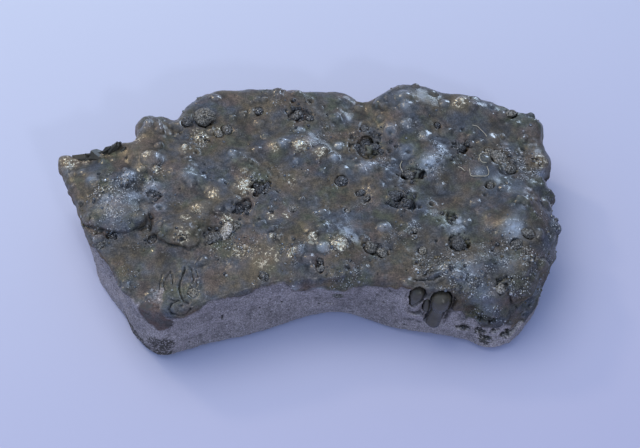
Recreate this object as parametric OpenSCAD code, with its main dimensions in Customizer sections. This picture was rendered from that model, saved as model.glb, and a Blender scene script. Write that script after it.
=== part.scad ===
// Ferrosilicon lump: a slab broken from a cast bed of the alloy, all one solid piece.
// Its top is the blistered free surface of the casting, its sides are fractures and
// rolled skin, and its underside is the flat face that lay on the bed.
// +X runs along the slab, +Y to its back and +Z up. The origin is on the floor, under
// the middle of the slab's bounding box. All lengths are in millimetres.

/* [Slab] */
// Length of the slab, left to right
slab_length = 94; // [70:0.5:130]
// Depth of the slab, front to back
slab_depth = 52.5; // [38:0.5:75]
// Height of the casting's free surface above the bed face
slab_height = 16.5; // [12:0.5:26]

/* [Edges] */
// Radius of the roll where the casting's skin goes over the edge
skin_roll = 4.5; // [2:0.1:6]
// How far the rim of a rolled edge lies below the free surface
skin_drop = 4; // [1:0.1:6]
// Radius of the arris at the top of a fresh break
break_roll = 1; // [0.4:0.1:2]
// How high the foot of the sides is chipped up off the floor
foot_chip = 1.6; // [0.6:0.1:3]
// How far the chips reach in under the sides
foot_cut = 2.4; // [1:0.1:4]
// Depth of the steps and flakes on the sides
flake_depth = 0.9; // [0:0.1:1.6]
// Size of those flakes
flake_size = 5; // [3:0.5:9]

/* [Free surface] */
// Height of the irregular swells of the free surface
swell_height = 0.9; // [0:0.1:1.6]
// Distance between those swells
swell_pitch = 8; // [5:0.5:16]
// Height of each gas blister, as a share of its radius
blister_rise = 0.28; // [0.1:0.02:0.5]
// Depth of each open gas pit, as a share of its radius
pit_sink = 0.5; // [0.2:0.05:1]
// How far each pebble stands out of its socket, as a share of its radius
pebble_stand = 0.35; // [0.1:0.05:0.6]

/* [Burst bubble on the front] */
// Radius of the larger bubble
bubble_r = 2.6; // [1.5:0.1:3.5]
// Radius of its tail
tail_r = 1.5; // [0.8:0.1:2.2]
// Length of its tail, down the front
tail_length = 6.4; // [3:0.1:7]
// Width of the gap around it
bubble_gap = 0.7; // [0.3:0.1:1.2]

/* [Hidden] */

// Round the rim, counterclockwise from the front left corner: x, y, how much of the edge
// is rolled skin rather than break (0 to 1), and how far the foot leans out from the rim
stations = [
    [-31.2, -21.1, 0.2,  0.6], [-26.8, -24.9, 0.3,  0.7], [-21.6, -24.8, 0.1, -0.1],
    [-16.0, -22.8, 0.0,  0.0], [-10.0, -20.8, 0.0,  0.5], [ -4.0, -19.0, 0.0,  0.2],
    [  2.0, -18.6, 0.1, -1.5], [  7.6, -19.0, 0.4, -2.4], [ 13.4, -18.8, 0.1, -0.2],
    [ 19.4, -20.2, 0.0,  0.6], [ 25.4, -20.8, 0.2,  0.9], [ 30.6, -21.3, 0.6,  1.3],
    [ 35.0, -21.8, 0.7,  2.6], [ 40.2, -18.6, 0.8,  1.6], [ 43.6, -14.2, 0.8,  1.2],
    [ 45.5, -10.4, 0.9, -0.4], [ 47.6,  -5.2, 0.9, -1.0], [ 46.2,  -0.8, 0.9, -1.0],
    [ 47.8,   1.4, 0.9, -1.0], [ 44.9,   4.3, 0.8, -1.0], [ 47.4,   8.0, 0.9, -1.5],
    [ 46.4,  13.5, 0.8, -1.5], [ 46.2,  19.2, 0.5, -1.5], [ 40.5,  20.9, 0.4, -1.0],
    [ 35.5,  23.0, 0.5, -1.5], [ 30.0,  24.5, 0.5, -2.0], [ 24.5,  25.9, 0.5, -2.0],
    [ 18.5,  26.4, 0.5, -2.0], [ 14.5,  24.1, 0.5, -1.0], [ 11.0,  23.4, 0.5,  0.0],
    [  8.0,  25.4, 0.5, -1.0], [  2.0,  25.5, 0.5, -2.0], [ -4.0,  25.5, 0.5, -2.0],
    [-10.5,  25.7, 0.5, -2.0], [-17.4,  26.0, 0.6, -2.0], [-22.3,  23.4, 0.8, -1.5],
    [-24.2,  19.5, 0.7, -0.5], [-26.0,  18.2, 0.6,  0.0], [-30.3,  18.9, 0.7, -1.5],
    [-31.9,  15.6, 0.4, -1.0], [-32.4,  12.4, 0.2,  0.0], [-35.2,  12.0, 0.2,  0.5],
    [-38.2,  10.5, 0.1,  0.5], [-42.0,   9.7, 0.1, -0.5], [-46.3,   8.1, 0.2, -2.5],
    [-44.8,   3.2, 0.2, -2.0], [-42.6,  -1.4, 0.1, -0.5], [-41.1,  -5.4, 0.0, -0.4],
    [-39.2,  -9.4, 0.0,  0.2], [-36.0, -13.2, 0.0,  0.8], [-33.5, -17.1, 0.1,  0.4],
];
// Which stations are the corners: front left, front right, back right and back left
corners = [0, 13, 22, 44, len(stations)];
// Broad forms of the free surface: x, y, radius, height
mounds = [
    [-31,   3, 14,  1.6], [-39,   1,  8,  0.8], [-18,   4, 11,  1.1], [-30,  16,  6,  1.6],
    [-21,  19,  7,  1.2], [ -6,  21, 10,  0.8], [ 20,  21,  9,  2.2], [ 32,  20,  8,  0.8],
    [ 11,  20,  5, -1.0], [ -1,  10,  8,  0.9], [  4, -11,  9,  1.0], [ 39,  -6,  8,  1.3],
    [-25, -17, 11, -0.9], [-14, -14,  7, -0.4], [ 28,  -1,  8, -0.8], [ 38, -20,  4, -0.7],
    [ 24,   7,  6,  0.9], [  8,   1,  6, -0.8], [ 31, -15,  7,  0.6], [-12,  -5,  4, -0.9],
];
// Tongues of melt frozen over the surface, steep on their right-hand side and drawn out on
// the left: x, y, half length, half width, heading of the length in degrees, height
flows = [
    [-34.6,  -4.8, 6.8, 4.2,  -5, 1.1], [-22.4,  -7.9, 5.2, 4.2, -12, 1.1],
    [-14.8,  -0.8, 4.2, 3.2,  45, 0.8], [ 25.0,  -9.0, 4.0, 3.0,  10, 0.5],
];
// Gas blisters under the skin: x, y, radius
blisters = [
    [-29.5,   8.5, 3.0], [-29.5,   4.5, 2.4], [-33.0,   3.0, 2.2], [-39.5,   2.5, 2.4],
    [-27.5,  12.5, 2.2], [-33.5,  -5.0, 3.2], [-22.5,   4.0, 2.8], [-22.5,  10.5, 2.6],
    [-18.5,  -3.5, 2.4], [-15.5,   0.0, 2.2], [-12.5,   8.5, 2.2], [ -9.0,  10.5, 1.8],
    [ -4.0,  11.5, 2.8], [  0.0,  10.5, 2.8], [  3.5,   9.0, 2.4], [  6.5,   7.5, 1.8],
    [ 12.0,   6.0, 2.2], [ 16.5,  15.0, 2.2], [ 24.5,   7.5, 3.2], [ 19.5,  10.5, 1.8],
    [ 30.5,  21.0, 2.8], [  6.5, -11.0, 2.8], [ -0.5, -12.5, 2.6], [  2.0,  -9.0, 2.0],
    [ -5.5,  -9.5, 1.8], [-12.0, -16.0, 1.8], [ 15.0,  -9.0, 1.8], [ 40.0,  -4.0, 3.0],
    [ 37.0,  -8.0, 2.6], [ 44.0,   3.0, 2.0], [-10.5,   2.0, 2.0], [ 19.5,  -8.0, 2.0],
    [ 31.5, -15.0, 2.8], [ 25.5, -16.5, 2.6], [-22.0,  -8.0, 2.8], [ 11.0,  15.0, 1.8],
    [ 39.2, -17.6, 2.8],
];
// Open gas pits: x, y, half length, half width, heading of the length in degrees
pits = [
    [-14.6,  -9.0, 3.5, 1.7,  28], [ -7.8,   1.2, 1.8, 1.5,   0], [-11.0,  -3.4, 2.4, 1.1,  40],
    [ 12.3,  11.0, 2.3, 3.0,   0], [ 17.8,  -1.6, 3.3, 1.7,   0], [ 20.8,   4.0, 2.2, 1.3,  10],
    [ 27.4,  -5.4, 1.5, 1.3,   0], [ 28.4, -10.6, 2.0, 1.8,   0], [-19.8,  17.6, 3.2, 2.2,  20],
    [ 38.4,   6.0, 1.9, 1.7,   0], [ -0.3,  18.2, 3.1, 1.5,   0], [ 13.0, -12.2, 2.6, 1.3, -25],
    [ 35.7, -18.3, 1.5, 1.0,  30], [ 29.8,  10.7, 1.6, 1.2, -20], [-27.4,  -9.9, 1.3, 1.1,   0],
    [-27.4,  -1.4, 1.5, 1.1,   0],
];
// Pebbles of slag set in those pits: x, y, radius
pebbles = [
    [-15.8,  -9.8, 1.3], [-13.4,  -8.2, 1.5], [ 12.6,  10.6, 1.9], [ 18.8,  -2.0, 1.6],
    [ 16.4,  -1.0, 1.4], [ 28.4, -10.6, 1.6], [-19.2,  17.8, 1.9], [-21.8,  16.8, 1.2],
    [ 38.4,   6.0, 1.4], [ 20.2,   3.6, 1.2], [ -1.2,  18.2, 1.1], [  1.4,  17.8, 0.9],
    [ 12.2, -11.9, 1.2], [ 14.0, -12.7, 0.9], [ 29.6,  10.7, 1.0],
];
flow_tail = 2.4;
blister_spread = 1.5;
bubble_at = [24.5, -20.2, 13];
side_bubble_at = [20.6, -19.6, 13.4];
side_bubble_share = 0.66;
columns = 74;
rows = 40;
wall_rings = 4;
ball_fn = 14;

function lerp(a, b, t) = a + (b - a) * t;
function ease(t) = t * t * (3 - 2 * t);
function clamp(v, low, high) = min(high, max(low, v));
function flat(p) = [p.x, p.y];
function sum(v) = len(v) ? v * [for (a = v) 1] : 0;

// Repeatable value noise, from -1 to 1
function hash(i, j, k) =
    let (v = sin(i * 127.1 + j * 311.7 + k * 74.7) * 43758.5453) 2 * (v - floor(v)) - 1;
function noise(p) =
    let (i = floor(p.x), j = floor(p.y), k = floor(p.z),
         u = ease(p.x - i), v = ease(p.y - j), w = ease(p.z - k))
    lerp(
        lerp(lerp(hash(i, j, k), hash(i + 1, j, k), u),
             lerp(hash(i, j + 1, k), hash(i + 1, j + 1, k), u), v),
        lerp(lerp(hash(i, j, k + 1), hash(i + 1, j, k + 1), u),
             lerp(hash(i, j + 1, k + 1), hash(i + 1, j + 1, k + 1), u), v), w);
function rough(p) = noise(p) + 0.5 * noise(2.1 * p);

// A closed Catmull-Rom curve through the stations, and its four sides
function station(i) = stations[i % len(stations)];
function catmull(a, b, c, d, t) =
    0.5 * (2 * b + (c - a) * t + (2 * a - 5 * b + 4 * c - d) * t * t
           + (3 * b - a - 3 * c + d) * t * t * t);
function curve(t) =
    let (i = floor(t))
    catmull(station(i + len(stations) - 1), station(i), station(i + 1), station(i + 2), t - i);
function side(k, t) = curve(lerp(corners[k], corners[k + 1], t));

// Steps across the slab, closer together at its edges
function graded(t) = lerp(t, (1 - cos(180 * t)) / 2, 0.5);
us = [for (i = [0 : columns]) graded(i / columns)];
vs = [for (j = [0 : rows]) graded(j / rows)];
front = [for (u = us) side(0, u)];
right = [for (v = vs) side(1, v)];
back = [for (u = us) side(2, 1 - u)];
left = [for (v = vs) side(3, 1 - v)];

// The rim in order, and the grid steps its points stand at
ring = concat([for (i = [0 : columns - 1]) [i, 0]], [for (j = [0 : rows - 1]) [columns, j]],
              [for (i = [columns : -1 : 1]) [i, rows]], [for (j = [rows : -1 : 1]) [0, j]]);
rim = [for (r = ring) r.y == 0 ? front[r.x] : r.x == columns ? right[r.y]
       : r.y == rows ? back[r.x] : left[r.y]];
around = len(rim);
function outward(k) =
    let (t = flat(rim[(k + 1) % around]) - flat(rim[(k + around - 1) % around]))
    [t.y, -t.x] / norm(t);

// Height of the free surface, and of the same surface where it rolls down to the rim
function dome(p, at, r) = let (d = norm(flat(p) - flat(at)) / r) d < 1 ? pow(1 - d * d, 2) : 0;
function flow(p, f) =
    let (q = flat(p) - flat(f), a = [q.x * cos(f[4]) + q.y * sin(f[4]), q.y * cos(f[4]) - q.x * sin(f[4])],
         side = a.y / f[3] / (a.y > 0 ? flow_tail : 1),
         d = norm([a.x / f[2], side]), steepness = lerp(1.7, -0.7, side / max(d, 0.01)))
    d < 1 ? ease(clamp((1 - d) * max(1, steepness), 0, 1)) : 0;
function top_level(p) =
    slab_height
    + swell_height * rough([p.x, p.y, 0] / swell_pitch) / 2
    + sum([for (m = mounds) m[3] * dome(p, m, m[2])])
    + sum([for (f = flows) f[5] * flow(p, f)])
    + blister_rise * sum([for (b = blisters) b[2] * dome(p, b, b[2] * blister_spread)]);
function edge_roll(b) = lerp(break_roll, skin_roll, clamp(b[2], 0, 1));
function edge_drop(b) = lerp(break_roll, skin_drop, clamp(b[2], 0, 1));
function fall(b, away) =
    let (t = clamp(away / edge_roll(b), 0, 1)) edge_drop(b) * (1 - sqrt(1 - pow(1 - t, 2)));
function rolled_level(p) = top_level(p) - max([for (b = rim) fall(b, norm(flat(b) - flat(p)))]);

// The top is stretched between the four sides of the rim
function across(i, j) =
    let (u = us[i], v = vs[j])
    lerp(front[i], back[i], v) + lerp(left[j], right[j], u)
    - lerp(lerp(front[0], front[columns], u), lerp(back[0], back[columns], u), v);
top_points = [for (j = [0 : rows]) for (i = [0 : columns])
    let (q = across(i, j)) [q.x, q.y, rolled_level(q)]];
function grid(i, j) = j * (columns + 1) + i;

// Sides: a ruled wall from the rim to the chipped foot, with flakes knocked out of it
function foot_level(k) = foot_chip * (0.6 + 0.4 * noise([rim[k].x, rim[k].y, 9] / flake_size));
function wall_point(k, w) =
    let (q = flat(rim[k]) + outward(k) * rim[k][3] * w,
         z = lerp(top_points[grid(ring[k].x, ring[k].y)].z, foot_level(k), w),
         cut = flake_depth * rough([q.x, q.y, z] / flake_size) * sin(180 * w))
    [q.x + outward(k).x * cut, q.y + outward(k).y * cut, z];
function bed_point(k) =
    let (foot = wall_point(k, 1), q = flat(foot) - outward(k) * foot_cut) [q.x, q.y, 0];
side_points = concat(
    [for (r = [1 : wall_rings]) for (k = [0 : around - 1]) wall_point(k, r / wall_rings)],
    [for (k = [0 : around - 1]) bed_point(k)]);
function ring_index(r, k) =
    r == 0 ? grid(ring[k].x, ring[k].y) : len(top_points) + (r - 1) * around + k;

// The drawn slab is stretched to its own length and depth, with its middle on the origin
drawn = concat(top_points, side_points);
drawn_x = [for (p = drawn) p.x];
drawn_y = [for (p = drawn) p.y];
stretch = [slab_length / (max(drawn_x) - min(drawn_x)), slab_depth / (max(drawn_y) - min(drawn_y))];
middle = [max(drawn_x) + min(drawn_x), max(drawn_y) + min(drawn_y)] / 2;
function placed(p) = [(p.x - middle.x) * stretch.x, (p.y - middle.y) * stretch.y, p.z];

// The skin of the slab: the top, the rings of the sides and the bed as one polygon
module slab() {
    polyhedron(
        points = [for (p = drawn) placed(p)],
        faces = concat(
            [for (j = [0 : rows - 1]) for (i = [0 : columns - 1])
                let (a = grid(i, j), b = grid(i + 1, j), c = grid(i + 1, j + 1), d = grid(i, j + 1))
                each [[a, d, b], [b, d, c]]],
            [for (r = [0 : wall_rings]) for (k = [0 : around - 1])
                let (m = (k + 1) % around, a = ring_index(r, k), b = ring_index(r, m),
                     c = ring_index(r + 1, m), d = ring_index(r + 1, k))
                each [[a, b, d], [b, c, d]]],
            [[for (k = [0 : around - 1]) ring_index(wall_rings + 1, k)]]));
}

module ball(at, r, squash = [1, 1, 1]) {
    translate(at) scale(r * squash) sphere(1, $fn = ball_fn);
}

module pit(p) {
    at = [p.x, p.y, rolled_level(p) + 0.3];
    translate(placed(at)) rotate(p[4])
        scale([p[2], p[3], p[3] * pit_sink]) sphere(1, $fn = ball_fn);
}

module pebble(p) {
    at = [p.x, p.y, rolled_level(p) - p[2] * (1 - pebble_stand)];
    hull() {
        ball(placed(at), p[2]);
        ball(placed(at + [0.3, 0, -0.6] * p[2]), p[2]);
    }
}

// A bubble that burst through the front and left its tail on the break
module bubble(at, share, gap) {
    hull() {
        ball(placed(at), bubble_r * share + gap);
        ball(placed(at - [0.06, 0.1, 1] * tail_length * share), tail_r * share + gap);
    }
}

module lump() {
    color([0.30, 0.29, 0.27])
    union() {
        difference() {
            slab();
            for (p = pits) pit(p);
            bubble(bubble_at - [0, 2 * bubble_gap, 0], 1, bubble_gap);
            bubble(side_bubble_at - [0, 2 * bubble_gap, 0], side_bubble_share, bubble_gap);
        }
        for (p = pebbles) pebble(p);
        bubble(bubble_at, 1, 0);
        bubble(side_bubble_at, side_bubble_share, 0);
    }
}

lump();
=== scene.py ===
"""Ferrosilicon lump: dresses the cast slab in its blistered skin, its grainy breaks and its slag.

The lump's shape comes from the frame. Its mesh is made fine enough to carry the relief of
the casting: blisters, open pits, pebbles of slag in their sockets, cracks and the grain of
the fresh breaks. Lengths are millimetres until a mesh is finished, and metres from then on.
"""

import math

import bmesh
import bpy
import numpy as np
from mathutils import Euler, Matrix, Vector


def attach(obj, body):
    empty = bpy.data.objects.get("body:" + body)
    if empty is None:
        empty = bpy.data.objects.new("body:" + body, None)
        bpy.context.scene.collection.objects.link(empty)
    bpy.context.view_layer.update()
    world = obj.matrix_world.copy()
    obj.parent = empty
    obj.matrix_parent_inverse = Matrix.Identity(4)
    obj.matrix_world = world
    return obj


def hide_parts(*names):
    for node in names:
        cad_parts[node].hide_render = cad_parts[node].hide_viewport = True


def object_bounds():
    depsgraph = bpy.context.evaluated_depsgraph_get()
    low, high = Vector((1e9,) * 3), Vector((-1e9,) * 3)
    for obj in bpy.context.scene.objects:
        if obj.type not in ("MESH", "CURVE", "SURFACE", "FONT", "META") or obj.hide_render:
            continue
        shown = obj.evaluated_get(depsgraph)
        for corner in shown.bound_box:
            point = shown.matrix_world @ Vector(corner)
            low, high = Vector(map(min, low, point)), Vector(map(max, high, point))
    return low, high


MM = 0.001
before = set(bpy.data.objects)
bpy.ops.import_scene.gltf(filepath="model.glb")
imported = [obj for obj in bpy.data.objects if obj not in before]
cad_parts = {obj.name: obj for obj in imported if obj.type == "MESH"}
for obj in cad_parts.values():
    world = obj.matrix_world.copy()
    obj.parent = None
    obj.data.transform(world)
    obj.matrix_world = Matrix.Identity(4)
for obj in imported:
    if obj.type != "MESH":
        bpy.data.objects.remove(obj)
CAD_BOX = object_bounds()
FOOT, CROWN = CAD_BOX
LENGTH, DEPTH, HEIGHT = (Vector(CROWN) - Vector(FOOT)) / MM

# Camera: lengths in millimetres
CAMERA_ELEVATION = math.radians(57)
CAMERA_DISTANCE = 236
CAMERA_LENS = 70
CAMERA_AIM = (2.4, -2.0, 9.0)

# The fine mesh of the lump, and how it is kept in the slab's box
REMESH_VOXEL = 0.22
SMOOTH_PASSES = 7
FACING_PASSES = 12
MOST_TRIANGLES = 196000
BOX_MARGIN = 0.2
BOX_CUSHION = 0.6

# Relief scattered at random over the top: count, seed, smallest and largest radius, skew
DOME_SCATTER = (420, 25, 0.35, 1.5, 2.5)
PORE_SCATTER = (60, 33, 0.2, 0.5, 2.0)

# Low domes on the skin of the sides: count, seed, radius from and to, rise from and to
WALL_DOMES = (260, 37, 0.7, 1.7, 0.06, 0.22)

# How much taller than listed the blisters stand, and the share that pebbles are flattened by
BLISTER_RISE = 1.3
PEBBLE_SQUASH = 0.40

# The lint's radius and its height over the skin, and the depth of the pockets behind the bubbles
LINT_RADIUS = 0.07
LINT_LIFT = 0.25
POCKET_DEPTH = 1.8

# How finely the loose pieces are drawn
BUBBLE_SIDES = 48
LINT_SIDES = 6
PEBBLE_SUBDIVISIONS = 4
SHARD_CORNERS = 16

# What is painted on the lump's mesh for its material and for the scatters
PAINTED = ("skin", "proud", "golden_glints", "painted_sheen", "rust", "dark_patch", "crowd", "rubble", "crack_shade", "aloft", "polish")

# The way the burst bubbles face
BUBBLE_OUT = np.array([0.05, -0.75, 0.66])

# Small shapes set over the lump, for each square metre
BEAD_DENSITY = 900000
GRAIN_DENSITY = 2500000

# The sky brightens toward one way: strength 0.19 far from it, 0.73 right at it
SKY_COLOUR = (0.64, 0.83, 1.14, 1)
SKY_BRIGHT_WAY = (-0.60, -0.10, 0.79)
SKY_RANGE = {"From Min": -0.5, "From Max": 1.0, "To Min": 0.19, "To Max": 0.73}

# Lamps: name, place, size, energy, colour
LAMPS = [
    ("ceiling", (-160, 150, 590), 420, 1.85, (1.06, 0.96, 0.74)),
    ("window", (300, 569, 281), 200, 1.40, (0.60, 0.76, 1.0)),
    ("warm_lamp", (-390, 350, 460), 70, 0.55, (1.0, 0.80, 0.50)),
    ("front_lamp", (230, -480, 420), 50, 0.45, (0.95, 0.97, 1.0)),
]

# Colours of the skin, its painted sheens and glints, and how much lighter and warmer the sides are painted,
# as painted light
BROWN_OXIDE = (0.100, 0.079, 0.055)
BLUE_OXIDE = (0.066, 0.074, 0.099)
OLIVE_OXIDE = (0.075, 0.080, 0.055)
COPPER_OXIDE = (0.112, 0.080, 0.071)
PAINTED_BLUE_SHEEN = (0.36, 0.43, 0.56)
PAINTED_WHITE_GLINT = (0.80, 0.86, 0.96)
PAINTED_WARM_SHEEN = (0.27, 0.205, 0.125)
GOLD_GLINT = (1.0, 0.87, 0.66)
PAINTED_CRUST_GLINT = (0.74, 0.77, 0.84)
WORN_METAL = (0.34, 0.34, 0.36)
PAINTED_SIDE_LIGHT = (1.32, 1.20, 1.05)

# Colours of the breaks, and of the rust and the dark patches over both
DARK_GRAIN = (0.238, 0.211, 0.220)
PALE_GRAIN = (0.462, 0.415, 0.432)
DULL_GRAIN = (0.13, 0.115, 0.11)
BRIGHT_FLECK = (0.66, 0.62, 0.66)
RUST_BROWN = (0.098, 0.054, 0.040)
RUST_GREY = (0.060, 0.050, 0.045)
DARK_PATCH_BLACK = (0.045, 0.040, 0.032)

# Colours of the loose pieces, and of the floor from its painted shade to its painted light
SLAG_BLACK = (0.035, 0.035, 0.042)
SLAG_GREY = (0.085, 0.088, 0.10)
SLAG_BROWN = (0.15, 0.125, 0.085)
SLAG_ASH = (0.19, 0.19, 0.20)
SLAG_PALE = (0.38, 0.36, 0.35)
SLAG_FLECK = (0.55, 0.56, 0.60)
BUBBLE_DARK = (0.030, 0.026, 0.021)
BUBBLE_BUFF = (0.100, 0.088, 0.070)
BEAD_BROWN = (0.16, 0.13, 0.085)
BEAD_BLUE = (0.14, 0.16, 0.20)
BEAD_PALE = (0.42, 0.42, 0.44)
SHARD_BROWN = (0.042, 0.038, 0.032)
LINT_BUFF = (0.42, 0.39, 0.33)
PAPER_PAINTED_SHADE = (0.432, 0.435, 0.690)
PAPER_PAINTED_LIGHT = (0.635, 0.710, 0.920)
FLOOR_REACH = 1500

# Places on the lump are x, y and height. Each is seated on the nearest surface.

# Where the free surface's skin gives way to the break on the sides: x, y, height
SKIN_REACH = [
    (-46, 6, 13.5), (-43, -2, 14), (-40, -8, 14.5), (-37, -12, 15), (-34, -16, 13.5), (-31, -20, 15),
    (-27, -23, 15.5), (-22, -25, 14), (-14, -23, 15.5), (-6, -20, 16), (1, -19, 13), (3.5, -19, 12.5),
    (5.5, -18, 12), (8.5, -19, 13), (11.5, -19, 14.5), (18, -20, 15.5), (23, -21, 14), (26.5, -21.5, 10.5),
    (29.5, -22, 8.5), (32.5, -23, 7.5), (35, -23, 7), (38, -21.5, 5.5), (41, -19.5, 3.5), (44, -14, 3),
    (45, -10, 3), (46, 3, 3), (46, 14, 5), (41, 20, 7), (30, 24, 9), (18, 26, 8), (8, 24, 9.5), (-6, 25, 9),
    (-18, 25, 8), (-25, 18, 10), (-31, 18, 9), (-35, 11, 15), (-41, 9, 15.5),
]

# Gas blisters: place, radius, height
BLISTERS = [
    (-29, 6.5, 18.5, 2.3, 0.9), (-28, 10, 18, 1, 0.5), (-30.5, 4, 18.5, 0.7, 0.4), (-28, 4, 18.5, 0.8, 0.4),
    (-33, 2.5, 18.5, 1.6, 0.5), (-34, 4.5, 18, 0.7, 0.3), (-33.5, 1, 18, 0.9, 0.5),
    (-40.5, 2, 18, 0.7, 0.3), (-38.5, 1.5, 18, 0.6, 0.3), (-30.5, -6.5, 17.5, 1.6, 0.9),
    (-16, 2, 17.5, 0.8, 0.3), (-23, 9.5, 18, 0.9, 0.5), (-20.5, 12.5, 16.5, 1.3, 0.4),
    (-25, 13, 17, 0.6, 0.3), (-26, 15.5, 17, 0.7, 0.3), (-30.5, 15.5, 18, 1.1, 0.3),
    (-28.5, 15, 17.5, 1, 0.3), (-31, 14, 18, 1.1, 0.3), (-18.5, 14.5, 16.5, 1, 0.4),
    (-18, 22.5, 16.5, 1.2, 0.4), (-45, 5.5, 16.5, 0.9, 0.3), (-18.5, -4, 17.5, 2.2, 0.6),
    (-14, 8.5, 17.5, 1.3, 0.5), (-12.5, 18.5, 16.5, 0.8, 0.4), (-8.5, 21.5, 17.5, 0.8, 0.3),
    (-1.5, 14.5, 17, 1, 0.3), (-4.5, 10.5, 18, 1.4, 0.7), (-1.5, 10, 18, 1.5, 0.6), (3, 9.5, 17, 1.5, 0.5),
    (5, 8, 16.5, 1.3, 0.6), (6, 11, 16, 1.1, 0.4), (2, 7, 17, 0.6, 0.3), (-2, 7, 17, 0.8, 0.3),
    (-10.5, 7, 17, 0.5, 0.3), (-9.5, 10, 17, 1.1, 0.3), (-1, -1, 16, 0.6, 0.3), (3, -4, 16.5, 1.3, 0.4),
    (1.5, -4.5, 16.5, 0.6, 0.2), (3.5, -7, 17.5, 0.7, 0.2), (7, 5.5, 16, 1.3, 0.3), (3, 5.5, 16, 0.8, 0.3),
    (0, 5, 16.5, 0.6, 0.2), (14, -7.5, 16.5, 1.5, 0.5), (1, -10.5, 18, 1.1, 0.4), (6, -12, 18, 1.8, 0.6),
    (-1.5, -13, 17.5, 1.5, 0.7), (3, -12.5, 17.5, 1.4, 0.5), (7.5, -12, 17.5, 1, 0.4),
    (-6.5, -10, 17.5, 0.9, 0.3), (-5, -10, 17.5, 0.7, 0.3), (18.5, 21.5, 18.5, 1.9, 0.5),
    (19, 19, 18.5, 1.5, 0.4), (26.5, 20.5, 17.5, 1.2, 0.4), (30, 20.5, 18, 1.5, 0.5),
    (32, 19.5, 18, 1.2, 0.4), (19, 15.5, 17.5, 1.3, 0.4), (22.5, 13, 16.5, 1.5, 0.4),
    (16.5, 14.5, 17, 1.1, 0.3), (33, 11.5, 16.5, 1, 0.4), (35.5, 12.5, 16.5, 1.5, 0.3),
    (36.5, 1, 17, 1.1, 0.4), (19, -7, 16.5, 0.9, 0.3), (20.5, -8, 16.5, 0.5, 0.2), (43, 3.5, 16, 1.1, 0.4),
    (44, 3, 15.5, 1.6, 0.4), (44.5, -1.5, 15, 1.7, 0.5), (45, -9, 14.5, 1.3, 0.3),
    (10.5, -16.5, 17, 1.1, 0.2), (9, -18, 16.5, 0.5, 0.2), (-9.5, 16, 17, 1.2, 0.3), (10, 21, 16, 1, 0.3),
    (-22.5, 7, 18, 0.9, 0.2), (-36.5, 2, 18, 0.9, 0.2), (14.5, 5, 16.5, 1, 0.2), (31, -2, 16.5, 1.2, 0.3),
]

# Blisters that burst at the top and froze as small craters: place, radius
CRATERS = [
    (-21, 8.5, 17.5, 0.7), (-18, 2.5, 17.5, 0.4), (-17.5, 2, 17.5, 0.4), (-27, -4, 17.5, 1),
    (11, 16, 16, 1.3), (16, 14, 17, 1.2), (15.5, 10, 16, 1), (19, 9.5, 16.5, 1.2), (0.5, 21.5, 17, 0.8),
    (-3, 21, 17, 0.7), (34, 1.5, 16.5, 1.2), (33, -0.5, 16.5, 0.7), (41, 10.5, 16, 1), (-1.5, 10, 18, 0.6),
    (23, -2, 16, 0.7), (40, -19, 6, 1.2), (7.5, -16.5, 17, 0.9), (44, 7, 15.5, 0.8), (29.5, 14.5, 17, 0.8),
]

# Broad forms frozen into the skin: place, half length, half width, heading in degrees, height
LOBES = [
    (-28.8, -4.5, 17, 2.8, 2, -40, 0.8), (-31, -1.5, 18, 3.2, 1.6, 10, 0.4),
    (-19, -6.5, 17, 3.4, 1.8, 10, 0.8), (39.2, -17.6, 13, 3.6, 3.2, 0, 1),
    (46, -6.5, 14.5, 2.6, 2.2, 0, 0.7), (45.5, -10.5, 11, 2.4, 2, 0, 0.6), (43, -14.5, 14, 2.4, 2, 0, 0.7),
    (42, -16.5, 8, 2.2, 2, 0, 0.5), (40.5, -18.5, 7, 2, 1.6, 0, 0.6), (-12, -3, 15.5, 2.4, 1.4, 45, 0.9),
    (-8.5, 1, 15.5, 2.2, 1.8, 20, 0.9), (-31.8, 16, 15, 3.4, 2.6, 70, 1),
    (-27.5, 18.4, 15.5, 2.6, 1.6, 0, 0.7), (-46.3, 8, 14.5, 3, 3, 0, 1.1),
    (45.5, 20.5, 16, 2.6, 2.4, 0, -0.9), (-22, 2.5, 18.5, 2.8, 1.7, 0, 0.5),
    (-28.5, 0.5, 18, 2.6, 1.4, 5, 0.6), (-34.5, -5.5, 18.5, 4.2, 3, 10, 0.3),
    (-22.5, -9, 18, 3.6, 2.2, -10, 0.25), (-17, -1, 18, 3, 1.8, 35, 0.2), (11, 6, 17, 2.4, 1.7, 0, 0.5),
    (23, 6.5, 17.5, 3.6, 1.7, 10, 0.7), (37.5, -6.5, 18.5, 3.4, 2.6, 30, 0.5),
    (31, -15, 18, 3.6, 2.6, 0, 0.3), (25.5, -17.5, 17, 3.4, 1.6, -10, 0.5),
    (22.6, -18.4, 16.5, 2.2, 1.3, 12, 1.2), (33, -21.5, 11, 3.4, 2.6, 0, 0.7),
    (27.5, -8, 16.5, 1.8, 1.4, 20, 0.4), (-37, -10.5, 16.5, 2, 1.2, -20, 0.5),
    (6.5, -18.5, 14, 1.6, 1.2, 0, 0.4),
]

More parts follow.
